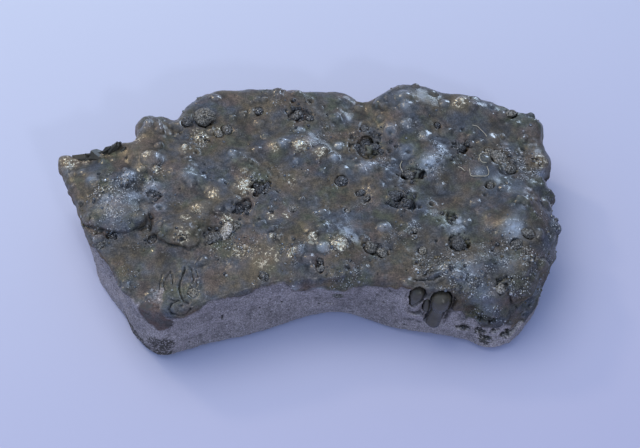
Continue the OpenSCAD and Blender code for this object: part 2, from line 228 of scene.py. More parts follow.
# Open gas pits: place, half length, half width, heading in degrees, depth
PITS = [
    (-22.5, -10.5, 17.5, 1.4, 0.5, 15, 0.4), (-28, -1.5, 18, 1.6, 1.1, 0, 0.4),
    (-28, -10, 16.5, 1.2, 0.9, 30, 0.5), (-1, 18, 17, 3.2, 1.6, 0, 0.4),
    (19.5, 4.5, 16.5, 2.1, 1.5, 0, 0.5), (21.5, 4, 16.5, 0.9, 0.6, 30, 0.9),
    (18, -2, 17.5, 3.2, 1.6, -8, 0.5), (-8.5, 1, 16.5, 2, 1.7, 20, 0.6), (-12, -3, 16.5, 2.3, 1.1, 45, 0.6),
    (-15.5, -8.5, 16, 3.3, 1.7, 28, 0.5), (26.5, -5, 16, 1.3, 1, -20, 0.8),
    (27.5, -11, 17, 1.8, 1.8, 0, 0.5), (12.5, -12.5, 16.5, 2.6, 1.3, -25, 0.4),
    (2.5, -16, 17, 0.8, 1.3, 0, 0.9), (32.5, -23, 10, 2, 1.3, 0, 1.2), (28.5, -22.5, 5.5, 1.1, 0.8, 0, 0.9),
    (31.5, -23, 5.5, 1, 0.8, 30, 0.9), (32.5, -24, 4, 1.4, 0.9, 0, 1), (34.5, -23.5, 6, 0.9, 0.7, 40, 0.8),
    (36.5, -23, 4.5, 1.1, 0.8, 0, 0.9), (29, 10.5, 16.5, 1.6, 1.2, -20, 0.5),
    (25, 15.5, 17, 0.8, 0.7, 0, 0.6), (11.5, 11.5, 15.5, 3, 2.6, 0, 0.4),
    (35, -18.5, 15.5, 1.5, 0.9, 30, 0.6), (-35.5, -9.5, 16.5, 1.1, 0.7, 0, 0.7),
    (-4.5, -19, 9, 0.4, 0.3, 0, 0.6), (41, -13.5, 16, 0.3, 0.8, -15, 0.9), (5, -18, 9, 0.5, 0.4, 0, 0.6),
    (-8.5, -20.5, 7, 0.3, 0.2, 0, 0.4), (14, -19, 9, 0.3, 0.3, 0, 0.4), (-19, 12, 17, 0.7, 0.5, 0, 0.6),
    (43, 8, 16, 0.8, 0.5, 0, 0.6),
]

# Pebbles of slag in their sockets: place, radius, stand above the surface, tone (dark to pale)
PEBBLES = [
    (-20, 17, 18, 1.9, 0.8, 0.62), (-23, 16, 17.5, 1.2, 0.6, 0.30), (-15.5, 15, 16, 1.2, 0.5, 0.50),
    (-17, 14, 16.5, 0.9, 0.4, 0.65), (-9.5, 19, 17, 1, 0.4, 0.30), (-2, 18, 17, 1, 0.3, 0.45),
    (0.5, 17.5, 16.5, 0.9, 0.3, 0.30), (-28, -5.5, 17.5, 0.9, 0.3, 0.20), (-17, -9.5, 16.5, 1.5, 0.2, 0.35),
    (-14.8, -8.5, 16.5, 1.4, 0.3, 0.90), (-13, -7, 16, 1, 0.3, 0.60), (6.5, 3.5, 15.5, 1.2, 0.4, 0.15),
    (10, 0.5, 16, 0.9, 0.3, 0.25), (11, -1, 16, 0.7, 0.3, 0.40), (11.2, 12.4, 15.5, 1.3, 0.3, 0.15),
    (9.6, 11.2, 15.5, 1, 0.2, 0.20), (12.9, 11, 15.5, 1.1, 0.2, 0.10), (11, 15.2, 16, 0.9, 0.3, 0.30),
    (10.9, 10.2, 15.5, 0.9, 0.1, 0.25), (14, 10, 16, 0.6, 0.2, 0.20), (-8.6, 1, 15.5, 1.1, 0.5, 0.20),
    (-7.4, 0.3, 15.5, 0.8, 0.4, 0.30), (-9.7, 1.9, 15.5, 0.8, 0.5, 0.25), (-12.5, -3.5, 15.5, 1, 0.5, 0.15),
    (-11.2, -2.3, 15.5, 0.9, 0.5, 0.30), (-7.2, 1.7, 15.5, 0.7, 0.4, 0.15), (19, 4.5, 16, 1.2, 0.3, 0.35),
    (16.5, -0.5, 17, 1.2, 0.3, 0.25), (19, -2.5, 17, 1.2, 0, 0.20), (11.5, -12, 17, 1.3, 0.3, 0.50),
    (13.5, -13, 16.5, 0.9, 0.3, 0.55), (2.5, -16.6, 17, 0.7, 0.2, 0.45), (2.5, -15.4, 17.5, 0.6, 0.2, 0.30),
    (27.5, -11, 17, 1.5, 0.3, 0.30), (40, -9.5, 17.5, 1.1, 0.4, 0.55), (38, -11.5, 17, 1.1, 0.4, 0.40),
    (21, -12.5, 16.5, 0.8, 0.3, 0.75), (-7.5, -18, 17, 1, 0.3, 0.35), (-2.5, -3.5, 16.5, 0.7, 0.3, 0.50),
    (29, 10.5, 16.5, 1.1, 0.2, 0.25), (30.5, 11.5, 16.5, 0.6, 0.3, 0.30), (36.5, 8.5, 16, 1.7, 0.5, 0.60),
    (38.5, 5.5, 16.5, 1.1, 0.5, 0.50), (39.5, 19, 16, 1.1, 0.7, 0.70), (34, 1.5, 16.5, 0.8, 0.3, 0.45),
    (-20, -21, 16, 0.9, 0.2, 0.70), (34.5, -20, 15.5, 1, 0.3, 0.80), (40, -19.5, 6.5, 0.9, 0.2, 0.50),
    (25, 15.5, 17, 0.6, 0.2, 0.20), (19.5, -8.5, 16.5, 0.5, 0.2, 0.50), (7.5, -3.5, 16, 0.6, 0.2, 0.50),
    (5.5, -18.5, 9.5, 1, 0.2, 0.60), (-37.5, -11, 16.5, 1.1, 0.3, 0.45), (37.5, 7, 16, 0.8, 0.4, 0.70),
    (34.5, 9.5, 16, 0.8, 0.4, 0.65),
]

# Lips where one flow of the melt froze over another, raised side on the left: rise, route
LIPS = [
    (0.3, [(-41.5, -5.5, 16.5), (-40.5, -7, 16.5), (-38.5, -8, 17), (-36, -8.5, 17), (-33, -9, 17)]),
    (0.2, [(-33, -9, 17), (-31, -8.2, 17), (-29, -7.5, 17)]),
    (0.3, [(-27.5, -9.5, 16.5), (-26, -10.5, 16.5), (-23.5, -11.2, 16.5), (-21.5, -12, 16.5),
           (-20, -11.8, 16.5), (-19, -10, 17)]),
    (0.25, [(-28.5, -5, 17.5), (-28, -7, 17), (-28.2, -9, 17)]),
    (0.2, [(-13.5, -4.5, 16), (-12.6, -2.6, 16.5), (-10.5, -1, 17)]),
    (0.5, [(-39, -10, 17), (-38, -11.4, 16.5), (-36.5, -11.6, 16.5)]),
    (0.4, [(36, -17, 16), (35.5, -19.5, 15), (37, -21, 12), (39.5, -21, 9.5), (42, -19, 9)]),
    (0.3, [(44.5, -12.5, 12), (43.5, -13.5, 15), (41.5, -13.8, 16)]),
    (0.5, [(40.5, -20.5, 5), (38.5, -22, 4), (36, -23.5, 3.5)]),
]

# Shrinkage cracks and folds: width, depth, route
CRACKS = [
    (0.14, 0.6, [(-21.8, -15.6, 15.5), (-22, -17, 15.5), (-22.5, -18.8, 16), (-22.6, -20.6, 16),
                 (-22, -21.9, 16), (-21.6, -22.8, 16)]),
    (0.12, 0.3, [(-24.4, -16.2, 15.5), (-25.1, -17.6, 15.5), (-25.3, -19.4, 15.5), (-24.9, -20.6, 16)]),
    (0.12, 0.2, [(-25.8, -16.8, 15.5), (-26, -18.4, 15.5), (-26.1, -20, 15.5)]),
    (0.12, 0.35, [(-20.9, -15.6, 16), (-20.4, -17, 16), (-20, -18.5, 16), (-20.5, -20.2, 16),
                 (-21.3, -21.6, 16), (-21.7, -22.6, 16)]),
    (0.12, 0.2, [(-19.7, -16.4, 16), (-19.2, -18.2, 16), (-19.4, -20, 16)]),
    (0.12, 0.25, [(-24.4, -16.2, 15.5), (-23.9, -17.6, 15.5), (-23.9, -19.2, 15.5)]),
    (0.13, 0.5, [(-24.2, -22, 16), (-23.4, -22.6, 16), (-22.4, -22.6, 16)]),
    (0.15, 0.6, [(-22.6, -22.6, 16), (-23.7, -23.1, 16), (-24.1, -24.2, 15.5), (-23.5, -25.2, 15.5),
                 (-22.2, -25.6, 15), (-20.9, -25.2, 15), (-20.3, -24.2, 15.5), (-20.8, -23.1, 16),
                 (-21.7, -22.6, 16)]),
    (0.20, 0.8, [(19, -18.6, 15.5), (21, -19, 15.5), (22.6, -18.9, 15.5), (24.2, -17.9, 16)]),
    (0.25, 0.8, [(3.6, -17.8, 6.2), (4.6, -17.6, 5.8), (5.6, -17.4, 5.4)]),
    (0.18, 0.6, [(-15, -22.5, 9.8), (-15.2, -22.5, 8.4)]),
]

# Bubbles that burst through the front: pocket width, then centre and radius down each one
BUBBLES = [
    (0.30, [(24, -20.8, 13.4, 1.85), (23.9, -21.1, 12.2, 1.75), (23.6, -21.4, 10.8, 1.20),
            (23.3, -21.6, 8.8, 1.25), (23, -21.8, 6.8, 1.35)]),
    (0.22, [(19.9, -19.6, 14, 1.25), (19.6, -20.1, 12.9, 1.10), (19, -20.6, 11.2, 0.35)]),
    (0.15, [(21.6, -20.4, 12.2, 0.55), (21.6, -20.8, 10.8, 0.60), (21.6, -21.1, 9.6, 0.40)]),
]

# Shards along the broken back edge: centre, half sizes, turn about X, Y and Z in degrees
SHARDS = [
    ((-42.8, 8.4, 15.3), (1.7, 1.2, 0.9), (10, 4, 14)),
    ((-41.2, 8.7, 15.7), (1.3, 1.1, 0.9), (-20, -8, 25)), ((-39.8, 8.9, 16), (1.4, 1.2, 1), (20, 10, -10)),
    ((-38.4, 8.9, 16.2), (1.5, 1.2, 0.9), (-15, -10, 20)), ((-37, 9.4, 16.8), (2, 0.7, 1), (15, -34, 35)),
    ((-35.3, 9.2, 16.4), (1.6, 0.7, 0.9), (-10, -26, 42)),
    ((-33.9, 9.6, 16.2), (1.1, 0.9, 0.8), (25, 12, -20)),
    ((-38.2, 9.3, 16.9), (1.6, 0.4, 0.7), (25, -40, 30)), ((-36, 9.8, 17.2), (1.4, 0.4, 0.8), (5, -48, 48)),
    ((-40.5, 8.6, 16.3), (1.6, 0.4, 0.6), (-10, 15, 12)),
    ((-42, 8.3, 15.9), (1.5, 0.4, 0.7), (30, -12, 20)),
]

# Fibres of lint caught on the skin: points along each one
LINT = [
    [(30.5, 5.5, 16.5), (30.7, 3.9, 16.5), (32, 3.7, 16.5), (33.5, 3.6, 16.5), (34, 4.6, 16.5),
     (33.7, 5.8, 16.5)],
    [(34, 9.2, 16.5), (33, 9, 16.5), (32.5, 8, 16.5), (32.9, 6.9, 16.5), (33.8, 6.6, 16.5)],
    [(31.5, 15.2, 17), (32.4, 15, 17), (33, 14.2, 17), (33.8, 13.6, 17), (34.2, 12.8, 16.5)],
    [(28.3, 5.9, 16.5), (28.9, 5.5, 16.5), (29.6, 4.9, 16.5)],
    [(17.9, 7.4, 16), (17.5, 6.2, 16), (18, 4.8, 16)],
]

# Patches of colour, all as place, radius, strength: painted golden glints with a painted warm
# sheen, painted pale bluish sheen, rough crystal crust, rust, and dark patches
GOLDEN_GLINT_SPOTS = [
    (-30, 7, 18.5, 1, 1), (-30.5, 4, 18.5, 0.8, 0.9), (-28, 4, 18.5, 0.9, 0.9), (-23, 9.5, 18, 1.1, 1),
    (-20.5, 12.5, 16.5, 1.8, 0.8), (-17, 14, 16.5, 1.3, 0.9), (-11.5, 1, 17.5, 1.9, 0.9),
    (-20, -4.5, 17.5, 1.2, 0.8), (-17, -1, 17.5, 1.3, 0.7), (-14.5, -5.5, 16, 1.4, 0.8),
    (-6, 10, 17.5, 1, 0.9), (-1.5, 10, 18, 1.8, 1), (2.5, 9, 17, 1.4, 0.7), (1, -10.5, 18, 1.2, 1),
    (6, -12, 18, 1.9, 1), (-2.2, -13.5, 17.5, 1.1, 1), (-6, -10, 17.5, 0.9, 0.8), (44, 7.5, 16, 1.9, 0.6),
    (30, 20.5, 18, 1.6, 0.7), (-4, -5, 17, 0.9, 0.6), (-45, 7, 16.5, 2, 0.7), (-42, 8, 16.5, 1.8, 0.5),
    (-22.5, -9.5, 17.5, 2.2, 0.5), (-6.5, -5.5, 17, 1.2, 0.5), (-7.5, -14, 17, 4, 0.4),
    (-12, -13, 17, 2.5, 0.4), (-12, 4.5, 17, 0.9, 0.5), (-22, -7, 17.5, 1.2, 0.6),
    (-33, 12, 17.5, 2.5, 0.4), (-3, 3, 16.5, 3, 0.3),
]
PAINTED_SHEEN_SPOTS = [
    (-36, -3, 18.5, 3.5, 0.7), (-32, -2, 18.5, 2.6, 0.7), (-29.5, -5, 18, 1.6, 0.5),
    (32.5, -21, 13, 2.4, 0.5), (5.5, -19, 11.5, 1.8, 1), (2, -19.5, 12.5, 1.8, 1),
    (-2, -19.5, 14, 1.6, 0.8), (41.5, -16, 10, 3, 0.5), (44.5, -9, 11.5, 3, 0.45), (45.5, -4, 14, 1.8, 0.4),
    (-33, 2.5, 18.5, 2, 0.9), (-28.5, 0, 18, 2.6, 0.8), (-22, 2.5, 18.5, 2.6, 0.6), (-34.5, -6, 18, 4, 0.5),
    (-14, 8, 17.5, 1.8, 0.6), (-4.5, 10.5, 18, 1.6, 1), (5, 8, 16.5, 1.5, 1), (6, 11, 16, 1.4, 0.8),
    (-1.5, 14.5, 17, 1.3, 0.8), (11, 6, 17, 2.3, 0.8), (23, 6.5, 18, 3.4, 1), (37.5, -8.5, 18, 2.7, 1),
    (27.8, -6.2, 16, 1.3, 1), (27, -8, 16.5, 2, 0.8), (44.5, 5, 14.5, 2, 1), (28, -17.5, 17, 3.8, 0.7),
    (24, -16.5, 17, 2.5, 0.5), (18.5, 22, 18.5, 2, 0.5), (19, 19, 18.5, 2, 0.6), (19, 15.5, 17.5, 1.8, 0.6),
    (22.5, 13, 16.5, 1.9, 0.5), (14, -7.5, 16.5, 1.7, 0.7), (3, -12.5, 17.5, 1.8, 0.8),
    (8.5, -19, 13, 1.8, 0.7), (32, 4.5, 16.5, 1.6, 0.7), (16, 14.5, 17, 1.7, 0.7),
    (19, 9.5, 16.5, 1.8, 0.7), (40, -19, 6, 1.4, 0.5), (-40, 2, 18, 1.2, 0.8), (-45, 5, 16, 1.4, 0.6),
    (-16, 2, 17.5, 1, 0.6), (-28, 6.5, 18, 1.6, 0.8), (-30.5, 15.5, 18, 1.6, 0.5),
    (-27, -4, 17.5, 1.4, 0.9), (-13, -7, 16, 1.2, 0.7), (19, -7, 16.5, 1.2, 0.5),
    (-18, 22.5, 16.5, 1.3, 0.4), (-1, -13.5, 18, 1.2, 0.7), (37.5, 0.5, 17, 1.5, 0.6),
    (26.5, 20.5, 17.5, 1.6, 0.4), (31, -20.5, 14.5, 3, 0.5), (8, 6, 16, 1.8, 0.5), (7, -12, 18, 1.4, 0.5),
    (2, -4, 16.5, 1.6, 0.5), (-2, 7, 17, 1.2, 0.5), (36, -15, 17, 3, 0.5), (-33.5, 1, 18, 1.1, 0.8),
    (-38, -10.5, 17, 1.5, 0.4), (-28.5, -15.5, 16, 3.5, 0.25), (-12.5, -16.5, 16.5, 3, 0.25),
]
CRUST = [
    (46, -6.5, 13, 4, 0.9), (45, -11, 10, 4, 0.8), (41.5, -17, 9, 3.5, 0.9), (46, 0.5, 13, 3, 0.8),
    (32.5, -22, 11, 3.5, 0.9), (38, -17.5, 14, 3.5, 0.6), (-35, -2, 18, 4.5, 0.6), (-30, 0.5, 18, 2.5, 0.7),
    (28, -18, 17, 5, 1), (21.5, -15.5, 17, 3, 0.8), (34.5, -13, 17.5, 3.5, 0.7), (40, -14, 16, 3, 0.7),
    (-37, -8, 17.5, 4.5, 0.5), (-33, -6.5, 18, 3.5, 0.5), (6, -12, 18, 2.5, 0.9), (-2, -13, 17.5, 2.5, 0.7),
    (43, 6.5, 16, 3, 0.8), (38, 7, 16.5, 3, 0.6), (-21, 11.5, 17, 2.5, 0.6), (-33, 2.5, 18, 2.5, 0.5),
    (6.5, -19, 15, 3, 0.9), (-10, 2, 17, 2.5, 0.6), (0, 10, 18, 3, 0.4), (-13, -12, 17, 3.5, 0.5),
    (44, -12, 13, 4, 0.6), (18, -9.5, 17, 3, 0.4), (24, 6, 17.5, 2.5, 0.6), (14.5, 7, 16.5, 2, 0.5),
    (-28, 5, 18, 2, 0.6),
]
RUST = [(-27.5, -25, 14.5, 3.2, 1), (-25.5, -26, 12.5, 2.4, 0.9)]
DARK_PATCHES = [
    (-26.5, -26, 5.5, 2.6, 1), (-33, -20, 2, 2.2, 0.9), (-32, -22, 2, 2.4, 1), (-30.5, -24, 2, 2.4, 1),
    (-28.5, -25.5, 1.5, 2.2, 1), (-26, -26, 1.5, 1.8, 0.9), (38.5, -17.8, 13.5, 3.4, 0.7),
    (35, -18.5, 16, 1.5, 0.8), (32.5, -23, 10, 1.8, 0.9), (28.5, -22.5, 5.5, 1.2, 0.8),
    (31.5, -23, 5.5, 1.2, 0.8), (32.5, -24, 4, 1.4, 0.8), (36.5, -23, 4.5, 1.3, 0.8),
]


def smoothstep(low, high, value):
    """0 below low, 1 above high, and a smooth rise between them."""
    t = np.clip((value - low) / (high - low), 0, 1)
    return t * t * (3 - 2 * t)


def unit(rows):
    """Each row's direction, with a length of 1."""
    return rows / np.linalg.norm(rows, axis=1)[:, None]


def bell(value, middle, width):
    """1 at the middle, falling away on both sides over the width."""
    return np.exp(-((value - middle) / width) ** 2)


def mound(share, power):
    """1 at the centre of an oval, 0 from its edge on."""
    return np.clip(1 - share ** 2, 0, 1) ** power


# Noise on points, the same on every run

GRADIENTS = unit(np.random.default_rng(7).normal(size=(4096, 3)))


def lattice(cell, seed):
    """A repeatable number from 0 to 4095 for each whole-numbered cell."""
    mixed = cell[:, 0] * 73856093 ^ cell[:, 1] * 19349663 ^ cell[:, 2] * 83492791 ^ seed * 2654435761
    mixed = (mixed ^ (mixed >> 13)) * 1274126177
    return (mixed ^ (mixed >> 16)) & 4095


def noise(points, size, seed=0):
    """Gradient noise with features of the given size, about -1 to 1."""
    scaled = points / size + 31.7 * seed
    cell = np.floor(scaled).astype(np.int64)
    part = scaled - cell
    blend = part ** 3 * (part * (part * 6 - 15) + 10)
    total = np.zeros(len(points))
    for corner in np.ndindex(2, 2, 2):
        step = np.array(corner)
        gradient = GRADIENTS[lattice(cell + step, seed)]
        reach = np.where(step, blend, 1 - blend).prod(axis=1)
        total += reach * (gradient * (part - step)).sum(axis=1)
    return 1.6 * total


def fractal(points, size, octaves=3, seed=0):
    """Noise summed over octaves, each half the size and half the height of the last."""
    return sum(noise(points, size / 2 ** k, seed + k) / 2 ** k for k in range(octaves))


def cells(points, size, seed=0):
    """Distance to the nearest and to the second nearest of scattered points, in cell sizes."""
    scaled = points / size
    home = np.floor(scaled).astype(np.int64)
    nearest = np.full(len(points), 9.0)
    second = np.full(len(points), 9.0)
    for step in np.ndindex(3, 3, 3):
        cell = home + np.array(step) - 1
        seat = cell + 0.5 + 0.45 * GRADIENTS[lattice(cell, seed + 50)]
        away = np.linalg.norm(scaled - seat, axis=1)
        second = np.minimum(second, np.maximum(nearest, away))
        nearest = np.minimum(nearest, away)
    return nearest, second


# The relief of the casting

def tangents(out, heading):
    """Two directions along a surface: one turned by a heading in degrees, and one across it."""
    turn = math.radians(heading)
    along = np.array([math.cos(turn), math.sin(turn), 0.0])
    along -= out * (along @ out)
    along /= np.linalg.norm(along)
    return along, np.cross(out, along)


class Shell:
    """The smoothed surface of the lump in millimetres, and the relief to be carved into it."""

    def __init__(self, points, facing):
        self.points = points
        self.facing = facing
        self.relief = np.zeros(len(points))
        self.ragged = 0.22 * noise(points, 1.2, seed=31) + 0.12 * noise(points, 0.5, seed=32)
        self.broken = smoothstep(-1.0, -0.2, noise(points, 1.1, seed=44))

    def seat(self, spot):
        """The place on the surface nearest a spot, and the way the surface faces there."""
        nearest = np.argmin(((self.points - spot) ** 2).sum(axis=1))
        return self.points[nearest], self.facing[nearest]

    def oval(self, spot, half_length, half_width, heading=0, reach=1.7):
        """The points round a spot, and how far each lies from it, where 1 is an oval's edge."""
        middle, out = self.seat(spot)
        along, across = tangents(out, heading)
        widest = max(half_length, half_width)
        offset = self.points - middle
        near = np.flatnonzero((offset ** 2).sum(axis=1) < (reach * widest) ** 2)
        offset = offset[near]
        share = np.sqrt((offset @ along / half_length) ** 2 + (offset @ across / half_width) ** 2
                        + (offset @ out / widest) ** 2)
        return near, share

    def route(self, stops, reach):
        """The points near a drawn line: their distance, signed by side, and how far along it."""
        stops = [self.seat(stop)[0] for stop in stops]
        lengths = [np.linalg.norm(b - a) for a, b in zip(stops, stops[1:])]
        starts = np.concatenate([[0], np.cumsum(lengths)])
        best = np.full(len(self.points), 1e9)
        signed = np.zeros(len(self.points))
        along = np.zeros(len(self.points))
        for k, length in enumerate(lengths):
            way = (stops[k + 1] - stops[k]) / length
            offset = self.points - stops[k]
            run = np.clip(offset @ way, 0, length)
            aside = offset - run[:, None] * way
            away = np.linalg.norm(aside, axis=1)
            left = (aside * np.cross(self.facing, way)).sum(axis=1)
            closer = away < best
            best = np.where(closer, away, best)
            signed = np.where(closer, away * np.sign(left), signed)
            along = np.where(closer, (starts[k] + run) / starts[-1], along)
        near = np.flatnonzero(best < reach)
        return near, signed[near], along[near]

    def dome(self, spot, radius, rise):
        """A round gas blister."""
        near, share = self.oval(spot, radius, radius)
        self.relief[near] += rise * mound(share, 1.5)

    def lobe(self, spot, half_length, half_width, heading, rise):
        """A broad form with soft edges, or a hollow where the rise is below 0."""
        near, share = self.oval(spot, half_length, half_width, heading)
        self.relief[near] += rise * mound(share, 2)

    def crater(self, spot, radius):
        """A ragged ring round a hollow."""
        near, share = self.oval(spot, radius, radius, reach=2.2)
        share = share * (1 + 0.8 * self.ragged[near])
        self.relief[near] += radius * (0.12 * bell(share, 0.95, 0.4) - 0.40 * bell(share, 0, 0.5))

    def pit(self, spot, half_length, half_width, heading, depth):
        """A ragged, steep-sided pit with rubble heaped in it."""
        near, share = self.oval(spot, half_length, half_width, heading, reach=2.0)
        share = share * (1 + 2.3 * self.ragged[near])
        rubble = 0.4 + 0.45 * fractal(self.points[near], 1.0, 2, seed=35)
        bowl = depth * (1 - smoothstep(0.70, 1.0, share))
        heap = rubble * depth * (1 - smoothstep(0.35, 0.95, share))
        rim = 0.04 * bell(share, 1.25, 0.2)
        self.relief[near] += heap - bowl + rim

    def socket(self, spot, radius, heading):
        """A hollow round a pebble, gaping most on the side of the heading."""
        near, share = self.oval(spot, radius, radius, reach=2.2)
        share = share * (1 + 0.8 * self.ragged[near])
        middle, out = self.seat(spot)
        gaping = smoothstep(-0.6, 0.9, (self.points[near] - middle) @ tangents(out, heading)[0] / radius)
        edge = 1 + 0.12 / radius
        bowl = (0.25 + 0.28 * radius) * (1 - smoothstep(0.85 * edge, edge + 0.05, share))
        self.relief[near] -= (0.25 + 0.75 * gaping) * bowl

    def lip(self, rise, stops):
        """A raised edge with a broken groove along its foot."""
        near, signed, along = self.route(stops, 7)
        signed = signed + 0.9 * self.ragged[near] + 0.25 * noise(self.points[near], 2.4, seed=41)
        ends = np.clip(5 * np.minimum(along, 1 - along) + 0.2, 0, 1)
        raised = smoothstep(-0.15, 0.5, signed) * (1 - smoothstep(1.5, 6.0, abs(signed)))
        groove = bell(signed, -0.25, 0.26)
        broken = np.clip(0.6 + noise(self.points[near], 2.0, seed=43), 0.15, 1)
        self.relief[near] += ends * (rise * raised - 0.45 * broken * groove)

    def crack(self, width, depth, stops):
        """A narrow, broken groove between low banks."""
        near, signed, along = self.route(stops, 2)
        away = abs(signed + 0.6 * self.ragged[near])
        ends = np.clip(6 * np.minimum(along, 1 - along) + 0.3, 0, 1)
        groove = depth * self.broken[near] * bell(away, 0, width)
        banks = 0.05 * bell(away, 2.4 * width, 1.3 * width)
        self.relief[near] += ends * (banks - groove)


def skin_amount(points):
    """1 on the casting's skin, 0 on a break: the skin reaches down the sides by its own line."""
    posts = np.array(SKIN_REACH, float)
    away = np.hypot(points[:, None, 0] - posts[None, :, 0], points[:, None, 1] - posts[None, :, 1])
    weight = 1 / (away + 0.3) ** 4
    reach = (weight * posts[None, :, 2]).sum(axis=1) / weight.sum(axis=1)
    ragged = 0.8 * fractal(points, 4.0, 3, seed=3) + 0.45 * noise(points, 0.8, seed=5)
    return smoothstep(-0.25, 0.25, points[:, 2] - reach + ragged)


def scattered(count, seed, smallest, largest, skew):
    """Places over the slab with a radius each, more of them small than large, and some luck."""
    draw = np.random.default_rng(seed)
    x = draw.uniform(-LENGTH, LENGTH, count) / 2
    y = draw.uniform(-DEPTH, DEPTH, count) / 2
    radius = smallest + (largest - smallest) * draw.random(count) ** skew
    return zip(x, y, radius, draw.random(count))


def skin_swells(points):
    """The skin's broad swells and its crusty, wrinkled patches."""
    swells = 0.22 * fractal(points, 6.0, 2, seed=11)
    crust_patch = smoothstep(-0.2, 0.5, fractal(points, 8.0, 2, seed=13))
    crust = 0.10 * fractal(points, 1.1, 3, seed=15) * (0.12 + crust_patch)
    return swells + crust


def break_grain(points):
    """The break: shallow facets of coarse grains, fine grain, and a few pores."""
    nearest, second = cells(points, 3.4, seed=2)
    facets = 0.16 * (second - nearest) + 0.12 * fractal(points, 5.0, 2, seed=16)
    grain = 0.06 * fractal(points, 0.8, 2, seed=17)
    pores = smoothstep(0.70, 0.80, noise(points, 0.9, seed=19))
    return facets + grain - 0.3 * pores - 0.2


def strew_domes(shell, skin):
    """Gas domes and pores strewn over the top, and low domes on the skin of the sides."""
    points = shell.points
    top = smoothstep(0.45, 0.8, shell.facing[:, 2]) * smoothstep(4.0, 9.0, points[:, 2])
    crowd = fractal(points, 9.0, 2, seed=23)
    for x, y, radius, luck in scattered(*DOME_SCATTER):
        near, share = shell.oval((x, y, HEIGHT), radius, radius)
        if len(near) and crowd[near].mean() > 0.5 * luck - 0.4:
            shell.relief[near] += (0.27 + 0.28 * luck) * radius * mound(share, 1.5)
    for x, y, radius, luck in scattered(*PORE_SCATTER):
        shell.pit((x, y, HEIGHT), 1.3 * radius, radius, 180 * luck, radius)
    shell.relief *= top
    count, seed, narrow, wide, low, high = WALL_DOMES
    walls = np.flatnonzero((skin > 0.8) & (shell.facing[:, 2] < 0.6) & (shell.facing[:, 2] > -0.2))
    draw = np.random.default_rng(seed)
    for spot in points[draw.choice(walls, count)]:
        shell.dome(spot, draw.uniform(narrow, wide), draw.uniform(low, high))


def carve(shell):
    """Gathers the whole relief of the free surface and of the breaks."""
    points = shell.points
    skin = skin_amount(points)
    strew_domes(shell, skin)
    for blister in BLISTERS:
        shell.dome(blister[:3], blister[3], BLISTER_RISE * blister[4])
    for lobe in LOBES:
        shell.lobe(lobe[:3], *lobe[3:])
    for crater in CRATERS:
        shell.crater(crater[:3], crater[3])
    for rise, stops in LIPS:
        shell.lip(rise, stops)
    for width, depth, stops in CRACKS:
        shell.crack(width, depth, stops)
    for pit in PITS:
        shell.pit(pit[:3], *pit[3:])
    for k, pebble in enumerate(PEBBLES):
        shell.socket(pebble[:3], pebble[3], 250 + 80 * math.sin(5 * k))
    shell.relief += skin * skin_swells(points) + (1 - skin) * break_grain(points)
    shell.relief *= smoothstep(0.1, 1.4, points[:, 2])


def open_pockets(points):
    """Sinks a pocket behind each burst bubble, so that it stands in a dark gap."""
    for gap, stations in BUBBLES:
        stations = np.array(stations)
        best = np.full(len(points), 9.0)
        height = np.zeros(len(points))
        for (ax, ay, az, ar), (bx, by, bz, br) in zip(stations, stations[1:]):
            start, way = np.array([ax, ay, az]), np.array([bx - ax, by - ay, bz - az])
            flat_way = way - BUBBLE_OUT * (way @ BUBBLE_OUT)
            offset = points - start
            run = np.clip(offset @ flat_way / (flat_way @ flat_way), 0, 1)
            offset = offset - run[:, None] * way
            above = offset @ BUBBLE_OUT
            aside = np.linalg.norm(offset - above[:, None] * BUBBLE_OUT, axis=1)
            share = aside / (ar + run * (br - ar) + gap)
            closer = (share < best) & (abs(above) < 4)
            best = np.where(closer, share, best)
            height = np.where(closer, above, height)
        sink = 1 - smoothstep(0.90, 1.0, best)
        points = points - BUBBLE_OUT * (sink * np.maximum(height + POCKET_DEPTH, 0))[:, None]
    return points


# Meshes

def new_object(name, data):
    """A new object in the scene."""
    made = bpy.data.objects.new(name, data)
    bpy.context.scene.collection.objects.link(made)
    return made


def mesh_object(name, vertices, faces):
    """A new object from vertices in millimetres, its faces turned outward."""
    mesh = bpy.data.meshes.new(name)
    mesh.from_pydata([tuple(v) for v in np.asarray(vertices) * MM], [], faces)
    shell = bmesh.new()
    shell.from_mesh(mesh)
    bmesh.ops.recalc_face_normals(shell, faces=shell.faces)
    for face in shell.faces:
        face.smooth = True
    shell.to_mesh(mesh)
    shell.free()
    return new_object(name, mesh)


def apply(body, modifier):
    """Gives the body the plain mesh that its modifier makes."""
    graph = bpy.context.evaluated_depsgraph_get()
    mesh = bpy.data.meshes.new_from_object(body.evaluated_get(graph))
    body.modifiers.remove(modifier)
    spare = body.data
    body.data = mesh
    bpy.data.meshes.remove(spare)


def modify(body, kind, **settings):
    """Adds a modifier and applies it at once."""
    modifier = body.modifiers.new(kind.lower(), kind)
    for name, value in settings.items():
        setattr(modifier, name, value)
    apply(body, modifier)


def vertices_of(mesh):
    """The vertices' places, in millimetres."""
    flat = np.empty(len(mesh.vertices) * 3)
    mesh.vertices.foreach_get("co", flat)
    return flat.reshape(-1, 3) / MM


def normals_of(mesh):
    """The way the surface faces at each vertex."""
    flat = np.empty(len(mesh.vertices) * 3, np.float32)
    mesh.vertex_normals.foreach_get("vector", flat)
    return flat.reshape(-1, 3).astype(float)


def set_vertices(mesh, points):
    """Moves the vertices to places in millimetres."""
    mesh.vertices.foreach_set("co", (points * MM).ravel())
    mesh.update()


